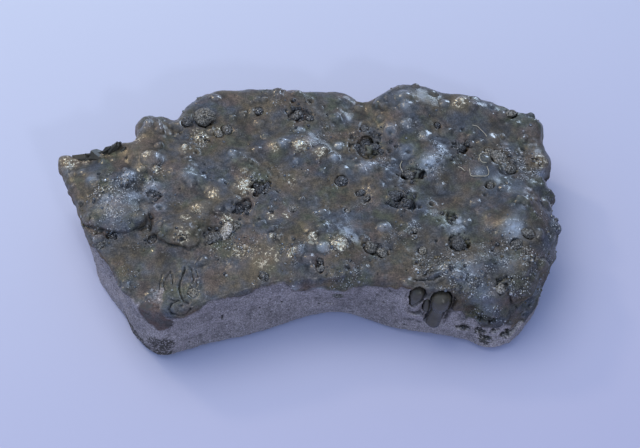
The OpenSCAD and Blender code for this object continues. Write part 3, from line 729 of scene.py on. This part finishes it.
def neighbour_average(mesh, values, passes):
    """Averages a value over each vertex's neighbours, a few times over."""
    edges = np.empty(len(mesh.edges) * 2, np.int64)
    mesh.edges.foreach_get("vertices", edges)
    a, b = edges.reshape(-1, 2).T
    count = np.bincount(a, minlength=len(values)) + np.bincount(b, minlength=len(values))
    for _ in range(passes):
        columns = []
        for column in values.T:
            total = (np.bincount(a, column[b], minlength=len(values))
                     + np.bincount(b, column[a], minlength=len(values)))
            columns.append(total / np.maximum(count, 1))
        values = 0.5 * values + 0.5 * np.stack(columns, axis=1)
    return values


def add_attribute(mesh, name, values):
    """Paints a number on each vertex."""
    attribute = mesh.attributes.new(name, "FLOAT", "POINT")
    attribute.data.foreach_set("value", np.asarray(values, np.float32))


def pressed(values, wall):
    """Values held below a wall, and eased off over the cushion before it."""
    start = wall - BOX_CUSHION
    over = values - start
    return np.where(over > 0, start + BOX_CUSHION * np.tanh(over / BOX_CUSHION), values)


def keep_inside(points):
    """Presses the points softly back into the slab's own box, with its bed on the floor."""
    low = np.array(FOOT) / MM - [BOX_MARGIN, BOX_MARGIN, 0]
    high = np.array(CROWN) / MM + BOX_MARGIN
    points = points.copy()
    for axis in range(3):
        points[:, axis] = pressed(points[:, axis], high[axis])
        if axis < 2:
            points[:, axis] = -pressed(-points[:, axis], -low[axis])
    points[:, 2] = np.maximum(points[:, 2], low[2])
    return points


def make_lump():
    """The cast slab, remeshed finely and carved with the relief of its skin and its breaks."""
    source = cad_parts["lump"]
    lump = new_object("cast_lump", source.data.copy())
    lump.data.transform(source.matrix_world)
    lump.data.materials.clear()
    loose = bmesh.new()
    loose.from_mesh(lump.data)
    bmesh.ops.remove_doubles(loose, verts=loose.verts, dist=0.001 * MM)
    loose.to_mesh(lump.data)
    loose.free()
    modify(lump, "REMESH", mode="VOXEL", voxel_size=REMESH_VOXEL * MM, use_smooth_shade=True)

    mesh = lump.data
    points = neighbour_average(mesh, vertices_of(mesh), SMOOTH_PASSES)
    set_vertices(mesh, points)
    normals = normals_of(mesh)
    shell = Shell(points, unit(neighbour_average(mesh, normals, FACING_PASSES)))
    carve(shell)
    points = open_pockets(points + normals * shell.relief[:, None])
    set_vertices(mesh, keep_inside(points))
    modify(lump, "DECIMATE", ratio=min(1, MOST_TRIANGLES / (2 * len(mesh.polygons))))
    paint_attributes(lump.data)
    return lump, shell


def patch_amount(points, shell, patches):
    """How strongly a list of patches colours each point, from 0 to 1."""
    amount = np.zeros(len(points))
    for x, y, z, radius, strength in patches:
        middle, _ = shell.seat((x, y, z))
        away = np.linalg.norm(points - middle, axis=1) / radius
        amount = np.maximum(amount, strength * np.exp(-1.2 * away ** 2))
    return amount


def paint_attributes(mesh):
    """Where the skin is, how hollow or proud each place is, the patches of colour and of painted sheen and
    glints, and the painted shade along the cracks.
    """
    points = vertices_of(mesh)
    normals = normals_of(mesh)
    shell = Shell(points, normals)
    evened = neighbour_average(mesh, points, 8)
    evened_facing = neighbour_average(mesh, normals, 6)
    proud = ((points - evened) * normals).sum(axis=1)
    skin = skin_amount(points)
    top = smoothstep(0.2, 0.6, normals[:, 2])
    add_attribute(mesh, "skin", skin)
    add_attribute(mesh, "aloft", smoothstep(0.0, 0.55, evened_facing[:, 2]))
    add_attribute(mesh, "proud", np.clip(0.5 + 2.2 * proud, 0, 1))
    # Where the painted golden glints and their painted warm sheen go
    add_attribute(mesh, "golden_glints", patch_amount(points, shell, GOLDEN_GLINT_SPOTS) * skin)
    # Where the painted bluish sheen and its painted white glints go
    add_attribute(mesh, "painted_sheen", patch_amount(points, shell, PAINTED_SHEEN_SPOTS))
    add_attribute(mesh, "rust", patch_amount(points, shell, RUST))
    add_attribute(mesh, "dark_patch", patch_amount(points, shell, DARK_PATCHES))
    # Painted shade along the cracks
    crack_shade = np.zeros(len(points))
    for _, _, stops in CRACKS:
        near, signed, _ = shell.route(stops, 1)
        signed = signed + 0.6 * shell.ragged[near]
        crack_shade[near] = np.maximum(crack_shade[near], bell(signed, 0, 0.13))
    add_attribute(mesh, "crack_shade", crack_shade * shell.broken)
    domes = [(*blister[:3], blister[3], 1) for blister in BLISTERS]
    domes += [(x, y, HEIGHT, radius, 0.7) for x, y, radius, _ in scattered(*DOME_SCATTER)]
    add_attribute(mesh, "polish", patch_amount(points, shell, domes) * top)
    crust = patch_amount(points, shell, CRUST)
    dappled = smoothstep(-0.1, 0.6, fractal(points, 5.0, 3, seed=51))
    add_attribute(mesh, "crowd", skin * np.maximum(top, 0.6) * np.clip(0.25 * dappled + crust, 0, 1))
    heaps = patch_amount(points, shell, [(*pit[:3], 0.5 * (pit[3] + pit[4]), 1) for pit in PITS])
    add_attribute(mesh, "rubble", np.clip(heaps + 0.4 * crust * dappled, 0, 1) * top)


def sweep(centres, radii, sides):
    """Vertices and faces of a closed tube through centres with a radius at each."""
    centres = np.asarray(centres, float)
    ways = unit(np.gradient(centres, axis=0))
    aside = unit(np.cross(ways, [0.31, 0.17, 0.93]))
    up = np.cross(aside, ways)
    turns = np.arange(sides) * math.tau / sides
    rings = [c + r * (np.outer(np.cos(turns), a) + np.outer(np.sin(turns), u))
             for c, r, a, u in zip(centres, radii, aside, up)]
    count = len(rings)
    vertices = np.concatenate(rings + [centres[:1], centres[-1:]])
    first, last = count * sides, count * sides + 1
    faces = []
    for k in range(sides):
        after = (k + 1) % sides
        faces.append((first, after, k))
        faces.append((last, (count - 1) * sides + k, (count - 1) * sides + after))
        for ring in range(count - 1):
            low, high = ring * sides, (ring + 1) * sides
            faces.append((low + k, low + after, high + after, high + k))
    return vertices, faces


def gather(name, shapes):
    """One object from several closed shapes."""
    vertices, faces, start = [], [], 0
    for shape_vertices, shape_faces in shapes:
        vertices.append(keep_inside(np.asarray(shape_vertices, float)))
        faces += [tuple(start + v for v in face) for face in shape_faces]
        start += len(shape_vertices)
    return mesh_object(name, np.concatenate(vertices), faces)


def eased(stops, steps):
    """A smooth run of values through a list of stops."""
    stops = np.asarray(stops, float)
    ends = np.concatenate([[2 * stops[0] - stops[1]], stops, [2 * stops[-1] - stops[-2]]])
    run = []
    for k in range(len(stops) - 1):
        a, b, c, d = ends[k:k + 4]
        for t in np.arange(steps) / steps:
            run.append(0.5 * (2 * b + (c - a) * t + (2 * a - 5 * b + 4 * c - d) * t ** 2
                              + (3 * b - a - 3 * c + d) * t ** 3))
    run.append(stops[-1])
    return np.array(run)


def make_bubbles():
    """The skins of the burst bubbles, each a round head with a tail that ends flat."""
    shapes = []
    for _, stations in BUBBLES:
        stations = np.array(stations)
        head, radius = stations[0, :3], stations[0, 3]
        away = head - stations[1, :3]
        away /= np.linalg.norm(away)
        dome = np.radians([6, 20, 35, 50, 65, 78])
        domed = [(*(head + away * radius * math.cos(a)), radius * math.sin(a)) for a in dome]
        body = eased(stations, 5)
        tail = body[-1] + 0.1 * (body[-1] - body[-2])
        tail[3] *= 0.8
        run = np.concatenate([domed, body, [tail]])
        vertices, faces = sweep(run[:, :3], run[:, 3], BUBBLE_SIDES)
        out = unit(vertices - vertices.mean(axis=0))
        vertices = vertices + out * 0.07 * fractal(vertices, 1.6, 3, seed=61)[:, None]
        shapes.append((vertices, faces))
    return gather("burst_bubbles", shapes)


def faces_of(shape):
    """The faces of a bmesh, as the numbers of their vertices."""
    return [tuple(v.index for v in face.verts) for face in shape.faces]


def ball(subdivisions):
    """Vertices and faces of a unit ball of triangles."""
    shape = bmesh.new()
    bmesh.ops.create_icosphere(shape, subdivisions=subdivisions, radius=1)
    vertices = np.array([tuple(v.co) for v in shape.verts])
    faces = faces_of(shape)
    shape.free()
    return vertices, faces


def make_pebbles(shell):
    """Lumpy pebbles of slag, each sunk in its socket."""
    round_one, faces = ball(PEBBLE_SUBDIVISIONS)
    draw = np.random.default_rng(77)
    shapes, tones = [], []
    for k, (x, y, z, radius, stand, tone) in enumerate(PEBBLES):
        middle, out = shell.seat((x, y, z))
        along, across = tangents(out, 47 * k)
        turned = np.stack([round_one @ along, round_one @ across, round_one @ out], axis=1) + 5 * k
        nearest, second = cells(turned, 0.55, seed=75)
        white_glints = 0.22 * np.minimum(second - nearest, 0.5) + 0.06 * noise(turned, 0.2, seed=73)
        lumpy = 0.95 + 0.22 * fractal(turned, 1.1, 2, seed=71) + white_glints
        shape = radius * round_one * lumpy[:, None]
        shape += np.outer((shape @ along) * draw.uniform(-0.1, 0.3), along)
        shape -= np.outer((shape @ across) * draw.uniform(0.0, 0.25), across)
        shape -= np.outer((shape @ out) * PEBBLE_SQUASH, out)
        vertices = middle + out * (0.6 * stand - 0.5 * radius) + shape
        shapes.append((vertices, faces))
        tones.append(np.full(len(round_one), tone))
    pebbles = gather("slag_pebbles", shapes)
    add_attribute(pebbles.data, "tone", np.concatenate(tones))
    return pebbles


def make_shards():
    """Angular splinters standing along the broken back edge."""
    draw = np.random.default_rng(81)
    shapes = []
    for middle, half, turn in SHARDS:
        shape = bmesh.new()
        for corner in draw.uniform(-1, 1, (SHARD_CORNERS, 3)):
            corner = corner / max(abs(corner))
            shape.verts.new(Vector(corner * np.array(half)))
        hull = bmesh.ops.convex_hull(shape, input=shape.verts)
        inner = hull["geom_interior"] + hull["geom_unused"]
        spare = {v for v in inner if isinstance(v, bmesh.types.BMVert)}
        bmesh.ops.delete(shape, geom=list(spare), context="VERTS")
        bmesh.ops.triangulate(shape, faces=shape.faces)
        shape.verts.index_update()
        spin = Euler([math.radians(a) for a in turn]).to_matrix()
        vertices = [tuple(Vector(middle) + spin @ v.co) for v in shape.verts]
        shapes.append((vertices, faces_of(shape)))
        shape.free()
    shards = gather("edge_shards", shapes)
    for face in shards.data.polygons:
        face.use_smooth = False
    return shards


def make_lint(shell):
    """Fine fibres lying loosely on the skin."""
    shapes = []
    for stops in LINT:
        seated = []
        for stop in stops:
            middle, out = shell.seat(stop)
            seated.append(middle + out * LINT_LIFT)
        run = eased(seated, 8)
        shapes.append(sweep(run, np.full(len(run), LINT_RADIUS), LINT_SIDES))
    return gather("lint", shapes)


def feed(tree, socket, value):
    """Links a node's socket to another, or sets it to a number or a colour."""
    if isinstance(value, bpy.types.NodeSocket):
        tree.links.new(value, socket)
    elif socket.type == "RGBA" and isinstance(value, tuple) and len(value) == 3:
        socket.default_value = (*value, 1)
    else:
        socket.default_value = value


def add_node(tree, kind, inputs=(), **settings):
    """A new node with its settings made and its inputs fed."""
    node = tree.nodes.new(kind)
    for name, value in settings.items():
        setattr(node, name, value)
    for socket, value in inputs:
        feed(tree, node.inputs[socket], value)
    return node


def scatter_tree(shape_kind, **shape_settings):
    """A node tree that sets small shapes of mixed sizes over a surface where an attribute asks."""
    tree = bpy.data.node_groups.new("scatter", "GeometryNodeTree")
    asked = {"Surface": "Geometry", "Density": "Float", "Where": "String", "Smallest": "Float",
             "Largest": "Float", "Seed": "Int", "Material": "Material"}
    for name, kind in asked.items():
        tree.interface.new_socket(name, in_out="INPUT", socket_type="NodeSocket" + kind)
    tree.interface.new_socket("Shapes", in_out="OUTPUT", socket_type="NodeSocketGeometry")

    def node(kind, inputs=(), **settings):
        return add_node(tree, kind, inputs, **settings)

    given = node("NodeGroupInput").outputs
    where = node("GeometryNodeInputNamedAttribute", [("Name", given["Where"])], data_type="FLOAT")
    density = node("ShaderNodeMath", [(0, where.outputs[0]), (1, given["Density"])], operation="MULTIPLY")
    spots = node("GeometryNodeDistributePointsOnFaces",
                 [("Mesh", given["Surface"]), ("Density", density.outputs[0]), ("Seed", given["Seed"])])
    luck = node("FunctionNodeRandomValue", [("Seed", given["Seed"])], data_type="FLOAT")
    skewed = node("ShaderNodeMath", [(0, luck.outputs[1]), (1, 3.0)], operation="POWER")
    size = node("ShaderNodeMapRange", [("Value", skewed.outputs[0]), ("To Min", given["Smallest"]),
                                       ("To Max", given["Largest"])])
    full_turns = (math.tau, math.tau, math.tau)
    turn = node("FunctionNodeRandomValue", [("Max", full_turns)], data_type="FLOAT_VECTOR")
    shape = node(shape_kind, shape_settings.items())
    placed = node("GeometryNodeInstanceOnPoints",
                  [("Points", spots.outputs["Points"]), ("Instance", shape.outputs["Mesh"]),
                   ("Rotation", turn.outputs[0]), ("Scale", size.outputs[0])])
    plain = node("GeometryNodeRealizeInstances", [("Geometry", placed.outputs[0])])
    coated = node("GeometryNodeSetMaterial",
                  [("Geometry", plain.outputs[0]), ("Material", given["Material"])])
    node("NodeGroupOutput", [(0, coated.outputs[0])])
    return tree


def scatter(name, lump, tree, material, **inputs):
    """A new object with the shapes a scatter tree sets over the lump."""
    body = new_object(name, lump.data.copy())
    modifier = body.modifiers.new("scatter", "NODES")
    modifier.node_group = tree
    inputs["Material"] = material
    for item in tree.interface.items_tree:
        if item.name in inputs:
            modifier[item.identifier] = inputs[item.name]
    apply(body, modifier)
    mesh = body.data
    for painted in PAINTED:
        if painted in mesh.attributes:
            mesh.attributes.remove(mesh.attributes[painted])
    set_vertices(mesh, keep_inside(vertices_of(mesh)))
    return body


# Materials

class Shader:
    """Builds a material's nodes: each call adds one and links its inputs."""

    def __init__(self, name):
        self.material = bpy.data.materials.new(name)
        self.material.use_nodes = True
        self.tree = self.material.node_tree
        self.surface = self.tree.nodes["Principled BSDF"]
        self.coordinates = self.add("ShaderNodeTexCoord").outputs["Object"]

    def add(self, kind, inputs=(), **settings):
        """A new node with its settings made and its inputs fed."""
        return add_node(self.tree, kind, inputs, **settings)

    def noise(self, size, detail=3, roughness=0.55, seed=0):
        """Noise with features of a size in millimetres, from 0 to 1."""
        shift = (0.13 * seed, 0.29 * seed, 0.07 * seed)
        moved = self.add("ShaderNodeVectorMath", [(0, self.coordinates), (1, shift)], operation="ADD")
        node = self.add("ShaderNodeTexNoise", [("Vector", moved.outputs[0]), ("Scale", 1 / (size * MM)),
                                               ("Detail", detail), ("Roughness", roughness)])
        return node.outputs["Fac"]

    def grains(self, size):
        """Grains of a size in millimetres: distance in grain sizes, and a colour per grain."""
        node = self.add("ShaderNodeTexVoronoi", [("Vector", self.coordinates), ("Scale", 1 / (size * MM))])
        return node.outputs["Distance"], node.outputs["Color"]

    def attribute(self, name):
        """A number painted on the mesh."""
        return self.add("ShaderNodeAttribute", attribute_name=name).outputs["Fac"]

    def axes(self):
        """The place on the piece as X, Y and Z, in metres."""
        return self.add("ShaderNodeSeparateXYZ", [(0, self.coordinates)]).outputs

    def spread(self, value, low, high, to_low=0.0, to_high=1.0):
        """Maps a range onto another, held at its ends."""
        numbers = (value, low, high, to_low, to_high)
        return self.add("ShaderNodeMapRange", enumerate(numbers), clamp=True).outputs[0]

    def math(self, operation, a, b):
        """One sum on two numbers."""
        return self.add("ShaderNodeMath", [(0, a), (1, b)], operation=operation).outputs[0]

    def times(self, *values):
        """The product of numbers."""
        product = values[0]
        for value in values[1:]:
            product = self.math("MULTIPLY", product, value)
        return product

    def between(self, amount, a, b, **settings):
        """What lies an amount of the way from a to b."""
        inputs = [("Factor", amount), ("A", a), ("B", b)]
        return self.add("ShaderNodeMix", inputs, **settings).outputs["Result"]

    def blend(self, amount, a, b):
        """A number between two others."""
        return self.between(amount, a, b, data_type="FLOAT")

    def mix(self, amount, a, b):
        """A colour between two others."""
        return self.between(amount, a, b, data_type="RGBA")

    def shade(self, colour, amount):
        """A colour times a number or another colour."""
        return self.between(1.0, colour, amount, data_type="RGBA", blend_type="MULTIPLY")

    def bump(self, height, distance, strength, normal=None):
        """Bump with a height of 1 standing for the distance, in millimetres."""
        inputs = [("Height", height), ("Distance", distance * MM), ("Strength", strength)]
        if normal:
            inputs.append(("Normal", normal))
        return self.add("ShaderNodeBump", inputs).outputs["Normal"]

    def finish(self, **sockets):
        """Feeds the surface and gives back the material."""
        for name, value in sockets.items():
            feed(self.tree, self.surface.inputs[name.replace("_", " ")], value)
        return self.material


def oxide(s):
    """The skin's oxide: patches of brown, blue, olive and copper, with grit in them, and painted shade
    toward the right.
    """
    hue = s.noise(6.0, detail=4, seed=1)
    colour = s.mix(s.spread(hue, 0.40, 0.60), BROWN_OXIDE, BLUE_OXIDE)
    colour = s.mix(s.spread(s.noise(4.5, seed=2), 0.5, 0.68), colour, OLIVE_OXIDE)
    colour = s.mix(s.spread(s.noise(4.5, seed=19), 0.52, 0.66, 0.0, 0.7), colour, COPPER_OXIDE)
    # Painted shade: the skin is painted darker toward the right
    painted_shade_right = s.spread(s.axes()["X"], 0.0, 0.025, 1.0, 0.86)
    mottle = s.spread(s.noise(1.0, detail=2, seed=3), 0.34, 0.68, 0.75, 1.3)
    grit = s.spread(s.noise(0.26, detail=1, roughness=0.6, seed=10), 0.36, 0.66, 0.68, 1.38)
    return s.shade(colour, s.times(mottle, grit, painted_shade_right))


def skin_coat(s):
    """The skin's colour with painted bluish sheen, painted white glints, painted warm sheen and golden
    glints, and where the golden glints are.
    """
    colour = oxide(s)
    painted_sheen = s.attribute("painted_sheen")
    sheen_mottle = s.spread(s.noise(0.8, roughness=0.65, seed=12), 0.35, 0.6, 0.45, 1.0)
    # Painted sheen: a pale bluish reflection painted over the sheen spots
    colour = s.mix(s.times(painted_sheen, sheen_mottle, painted_sheen), colour, PAINTED_BLUE_SHEEN)
    # Painted glints: white specks scattered in the painted sheen
    speckle = s.noise(0.3, detail=2, roughness=0.6, seed=4)
    drifts = s.spread(s.noise(1.5, roughness=0.6, seed=20), 0.46, 0.60)
    white_glints = s.times(s.spread(painted_sheen, 0.2, 0.6), s.spread(speckle, 0.60, 0.67), drifts)
    colour = s.mix(white_glints, colour, PAINTED_WHITE_GLINT)
    # Painted warm sheen round the golden glints, then the painted golden glints themselves
    golden_glints = s.attribute("golden_glints")
    colour = s.mix(s.times(golden_glints, 0.75), colour, PAINTED_WARM_SHEEN)
    gleam = s.math("ADD", s.noise(0.55, roughness=0.7, seed=6), s.times(golden_glints, 0.17))
    glint = s.times(s.spread(golden_glints, 0.15, 0.4), s.spread(gleam, 0.61, 0.67))
    return s.mix(glint, colour, GOLD_GLINT), glint


def break_coat(s):
    """The colour of the breaks, and how pale each of their grains is."""
    grain = s.spread(s.noise(0.26, detail=1, roughness=0.6, seed=5), 0.37, 0.64)
    colour = s.mix(grain, DARK_GRAIN, PALE_GRAIN)
    colour = s.shade(colour, s.spread(s.noise(7.0, seed=14), 0.35, 0.65, 0.86, 1.18))
    dull = s.spread(s.noise(3.5, seed=6), 0.55, 0.75)
    colour = s.mix(s.times(dull, 0.3), colour, DULL_GRAIN)
    flecks = s.spread(s.noise(0.24, detail=0, seed=13), 0.72, 0.78)
    return s.mix(flecks, colour, BRIGHT_FLECK), grain


def stained(s, colour):
    """A colour with rust and dark patches over it."""
    rust = s.math("ADD", s.attribute("rust"), s.times(s.noise(1.2, roughness=0.65, seed=15), 0.5))
    tint = s.mix(s.spread(s.noise(1.6, detail=2, seed=16), 0.42, 0.58), RUST_BROWN, RUST_GREY)
    colour = s.mix(s.spread(rust, 0.56, 0.72, 0.0, 0.80), colour, tint)
    # Dark patches at the listed places, broken up by noise
    patch_breakup = s.spread(s.noise(0.5, detail=4, roughness=0.75, seed=7), 0.42, 0.52)
    dark_patch = s.spread(s.times(s.attribute("dark_patch"), patch_breakup), 0.15, 0.35, 0.0, 0.9)
    return s.mix(dark_patch, colour, DARK_PATCH_BLACK)


def crusted(s, colour, crusty):
    """A colour with clumps of speckled crust over it, and painted glints in the crust."""
    rough = s.noise(0.25, detail=0, seed=17)
    speckled = s.shade(colour, s.spread(rough, 0.38, 0.60, 0.36, 1.6))
    # Painted glints: bright flecks in the crust
    speckled = s.mix(s.spread(rough, 0.67, 0.72), speckled, PAINTED_CRUST_GLINT)
    clumps = s.spread(s.noise(1.8, roughness=0.6, seed=18), 0.46, 0.60)
    return s.mix(s.times(crusty, clumps, 0.9), colour, speckled)


def fine_relief(s, skin, aloft, crusty):
    """Fine grain, faint where the skin is smooth, and pimples where it is crusty."""
    fine = s.noise(0.28, detail=1, roughness=0.6, seed=9)
    away, luck = s.grains(1.0)
    pimples = s.times(s.spread(away, 0.10, 0.42, 1.0, 0.0), s.spread(luck, 0.45, 0.50))
    no_glints = s.spread(s.attribute("golden_glints"), 0.1, 0.5, 1.0, 0.0)
    smooth = s.times(skin, aloft, no_glints, s.spread(crusty, 0.0, 1.0, 1.0, 0.0))
    normal = s.bump(s.times(fine, s.spread(smooth, 0.0, 1.0, 1.0, 0.12)), 0.16, strength=0.8)
    return s.bump(s.times(pimples, crusty), 0.20, strength=0.7, normal=normal)


def cast_alloy():
    """Dark, patchy oxide skin on the free surface, and bright grain on the breaks."""
    s = Shader("cast_alloy")
    skin = s.attribute("skin")
    proud = s.attribute("proud")
    aloft = s.attribute("aloft")
    crusty = s.spread(s.attribute("crowd"), 0.1, 0.5)

    skin_colour, glint = skin_coat(s)
    # Painted light: the sides' skin painted lighter and warmer than the top
    skin_colour = s.mix(aloft, s.shade(skin_colour, PAINTED_SIDE_LIGHT), skin_colour)
    break_colour, grain = break_coat(s)
    colour = stained(s, s.mix(skin, break_colour, skin_colour))
    # Painted shade in the hollows and along the cracks
    crack_shade = s.spread(s.attribute("crack_shade"), 0.1, 0.8, 1.0, 0.46)
    colour = s.shade(colour, s.times(s.spread(proud, 0.25, 0.5, 0.2, 1.0), crack_shade))
    colour = crusted(s, colour, crusty)
    worn = s.times(skin, s.spread(proud, 0.56, 0.9, 0.0, 0.12))
    colour = s.mix(worn, colour, WORN_METAL)

    gloss = s.noise(1.6, detail=4, seed=8)
    polish = s.spread(s.attribute("polish"), 0.15, 0.7)
    plain_skin = s.spread(gloss, 0.35, 0.7, 0.30, 0.48)
    polished_skin = s.spread(gloss, 0.35, 0.7, 0.26, 0.38)
    broken = s.spread(grain, 0.0, 1.0, 0.55, 0.40)
    roughness = s.blend(skin, broken, s.blend(polish, plain_skin, polished_skin))
    metallic = s.math("MAXIMUM", s.blend(skin, 0.45, 0.18), glint)
    normal = fine_relief(s, skin, aloft, crusty)
    return s.finish(Base_Color=colour, Roughness=s.blend(aloft, 0.95, roughness), Metallic=metallic,
                    Coat_Weight=s.times(aloft, s.blend(polish, 0.18, 1.0)), Coat_Roughness=0.18,
                    Normal=normal, Coat_Normal=normal)


def slag():
    """Glassy, crusted slag, from nearly black to pale, by each pebble's tone."""
    s = Shader("slag")
    tone = s.attribute("tone")
    dark = s.mix(s.noise(1.2, seed=21), SLAG_BLACK, SLAG_GREY)
    warm = s.mix(s.noise(0.9, seed=22), SLAG_BROWN, SLAG_ASH)
    colour = s.mix(s.spread(tone, 0.2, 0.7), dark, warm)
    colour = s.mix(s.spread(tone, 0.75, 0.95), colour, SLAG_PALE)
    crust = s.noise(0.28, detail=1, roughness=0.6, seed=23)
    colour = s.shade(colour, s.spread(crust, 0.36, 0.62, 0.28, 1.9))
    colour = s.mix(s.spread(crust, 0.68, 0.73), colour, SLAG_FLECK)
    normal = s.bump(s.noise(0.4, roughness=0.75, seed=24), 0.30, strength=0.9)
    return s.finish(Base_Color=colour, Roughness=0.28, Metallic=0.3, Normal=normal)


def bubble_skin():
    """The smooth, glossy brown-grey skin of a burst bubble."""
    s = Shader("bubble_skin")
    colour = s.mix(s.noise(1.3, seed=31), BUBBLE_DARK, BUBBLE_BUFF)
    normal = s.bump(s.noise(0.5, roughness=0.65, seed=32), 0.16, strength=0.6)
    return s.finish(Base_Color=colour, Roughness=0.15, Normal=normal)


def bead_glaze():
    """Small glossy beads of the skin: brownish or bluish, and some pale."""
    s = Shader("bead_glaze")
    tint = s.noise(2.0, detail=2, seed=41)
    colour = s.mix(s.spread(tint, 0.40, 0.55), BEAD_BROWN, BEAD_BLUE)
    pale = s.spread(s.noise(0.8, detail=2, seed=42), 0.52, 0.62)
    colour = s.mix(pale, colour, BEAD_PALE)
    return s.finish(Base_Color=colour, Roughness=0.24, Metallic=0.5)


def plain_coat(name, colour, roughness):
    """One colour, a little mottled."""
    s = Shader(name)
    tone = s.spread(s.noise(0.8, seed=51), 0.3, 0.7, 0.75, 1.25)
    return s.finish(Base_Color=s.shade(colour, tone), Roughness=roughness)


def paper():
    """Plain bluish paper, painted a little darker toward the front right as a painted falloff of the light.
    """
    s = Shader("pale_paper")
    axes = s.axes()
    # Painted falloff of the light: the paper darker toward the front right
    light_falloff = s.math("SUBTRACT", s.times(axes["Y"], 0.85), s.times(axes["X"], 0.32))
    colour = s.mix(s.spread(light_falloff, -0.10, 0.14), PAPER_PAINTED_SHADE, PAPER_PAINTED_LIGHT)
    return s.finish(Base_Color=colour, Roughness=0.9)


# Scene

def make_floor():
    """The sheet of paper that the lump lies on."""
    corners = [(x * FLOOR_REACH, y * FLOOR_REACH, 0) for x, y in ((-1, -1), (1, -1), (1, 1), (-1, 1))]
    floor = mesh_object("floor", corners, [(0, 1, 2, 3)])
    floor.data.materials.append(paper())


def look_at(thing, spot):
    """Turns a camera or a lamp toward a spot."""
    thing.rotation_euler = (Vector(spot) - thing.location).to_track_quat("-Z", "Y").to_euler()


def make_camera():
    """A camera in front of the lump, high up and looking down at it."""
    camera = new_object("camera", bpy.data.cameras.new("camera"))
    camera.data.lens = CAMERA_LENS
    camera.data.clip_start = 0.01
    aim = Vector(CAMERA_AIM) * MM
    back = Vector((0, -math.cos(CAMERA_ELEVATION), math.sin(CAMERA_ELEVATION)))
    camera.location = aim + back * CAMERA_DISTANCE * MM
    look_at(camera, aim)
    bpy.context.scene.camera = camera


def make_light(name, place, size, energy, colour):
    """A square soft light at a place in millimetres, aimed at the lump."""
    light = bpy.data.lights.new(name, "AREA")
    light.size = size * MM
    light.energy = energy
    light.color = colour
    lamp = new_object(name, light)
    lamp.location = Vector(place) * MM
    look_at(lamp, (0, 0, 0))
    return lamp


def light_sky():
    """A soft pale-blue sky, brighter overhead and toward the left."""
    world = bpy.data.worlds.new("sky")
    world.use_nodes = True
    tree = world.node_tree
    background = tree.nodes["Background"]
    background.inputs["Color"].default_value = SKY_COLOUR
    coordinates = tree.nodes.new("ShaderNodeTexCoord").outputs["Generated"]
    toward = add_node(tree, "ShaderNodeVectorMath", [(0, coordinates), (1, SKY_BRIGHT_WAY)],
                      operation="DOT_PRODUCT")
    level = add_node(tree, "ShaderNodeMapRange", [("Value", toward.outputs["Value"]), *SKY_RANGE.items()])
    feed(tree, background.inputs["Strength"], level.outputs[0])
    bpy.context.scene.world = world


def light_scene():
    """The sky and the lamps: the ceiling isn't mirrored in the lump, and the window only is."""
    light_sky()
    lamps = {lamp[0]: make_light(*lamp) for lamp in LAMPS}
    lamps["ceiling"].visible_glossy = False
    lamps["window"].visible_diffuse = False
    bpy.context.scene.view_settings.view_transform = "Standard"


def add_piece(piece, material=None):
    """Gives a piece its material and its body."""
    if material:
        piece.data.materials.append(material)
    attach(piece, "root")


make_camera()
light_scene()
make_floor()

lump, shell = make_lump()
add_piece(lump, cast_alloy())
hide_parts("lump")
add_piece(make_bubbles(), bubble_skin())
pebble_slag = slag()
add_piece(make_pebbles(shell), pebble_slag)
add_piece(make_shards(), plain_coat("shard_skin", SHARD_BROWN, 0.35))
add_piece(make_lint(shell), plain_coat("lint_fibre", LINT_BUFF, 0.8))
round_shape = scatter_tree("GeometryNodeMeshUVSphere", Segments=8, Rings=5, Radius=MM)
add_piece(scatter("gas_beads", lump, round_shape, bead_glaze(), Density=BEAD_DENSITY, Where="crowd",
                  Smallest=0.10, Largest=0.36, Seed=5))
sharp_shape = scatter_tree("GeometryNodeMeshIcoSphere", Subdivisions=1, Radius=MM)
add_piece(scatter("slag_grains", lump, sharp_shape, pebble_slag, Density=GRAIN_DENSITY, Where="rubble",
                  Smallest=0.14, Largest=0.55, Seed=8))
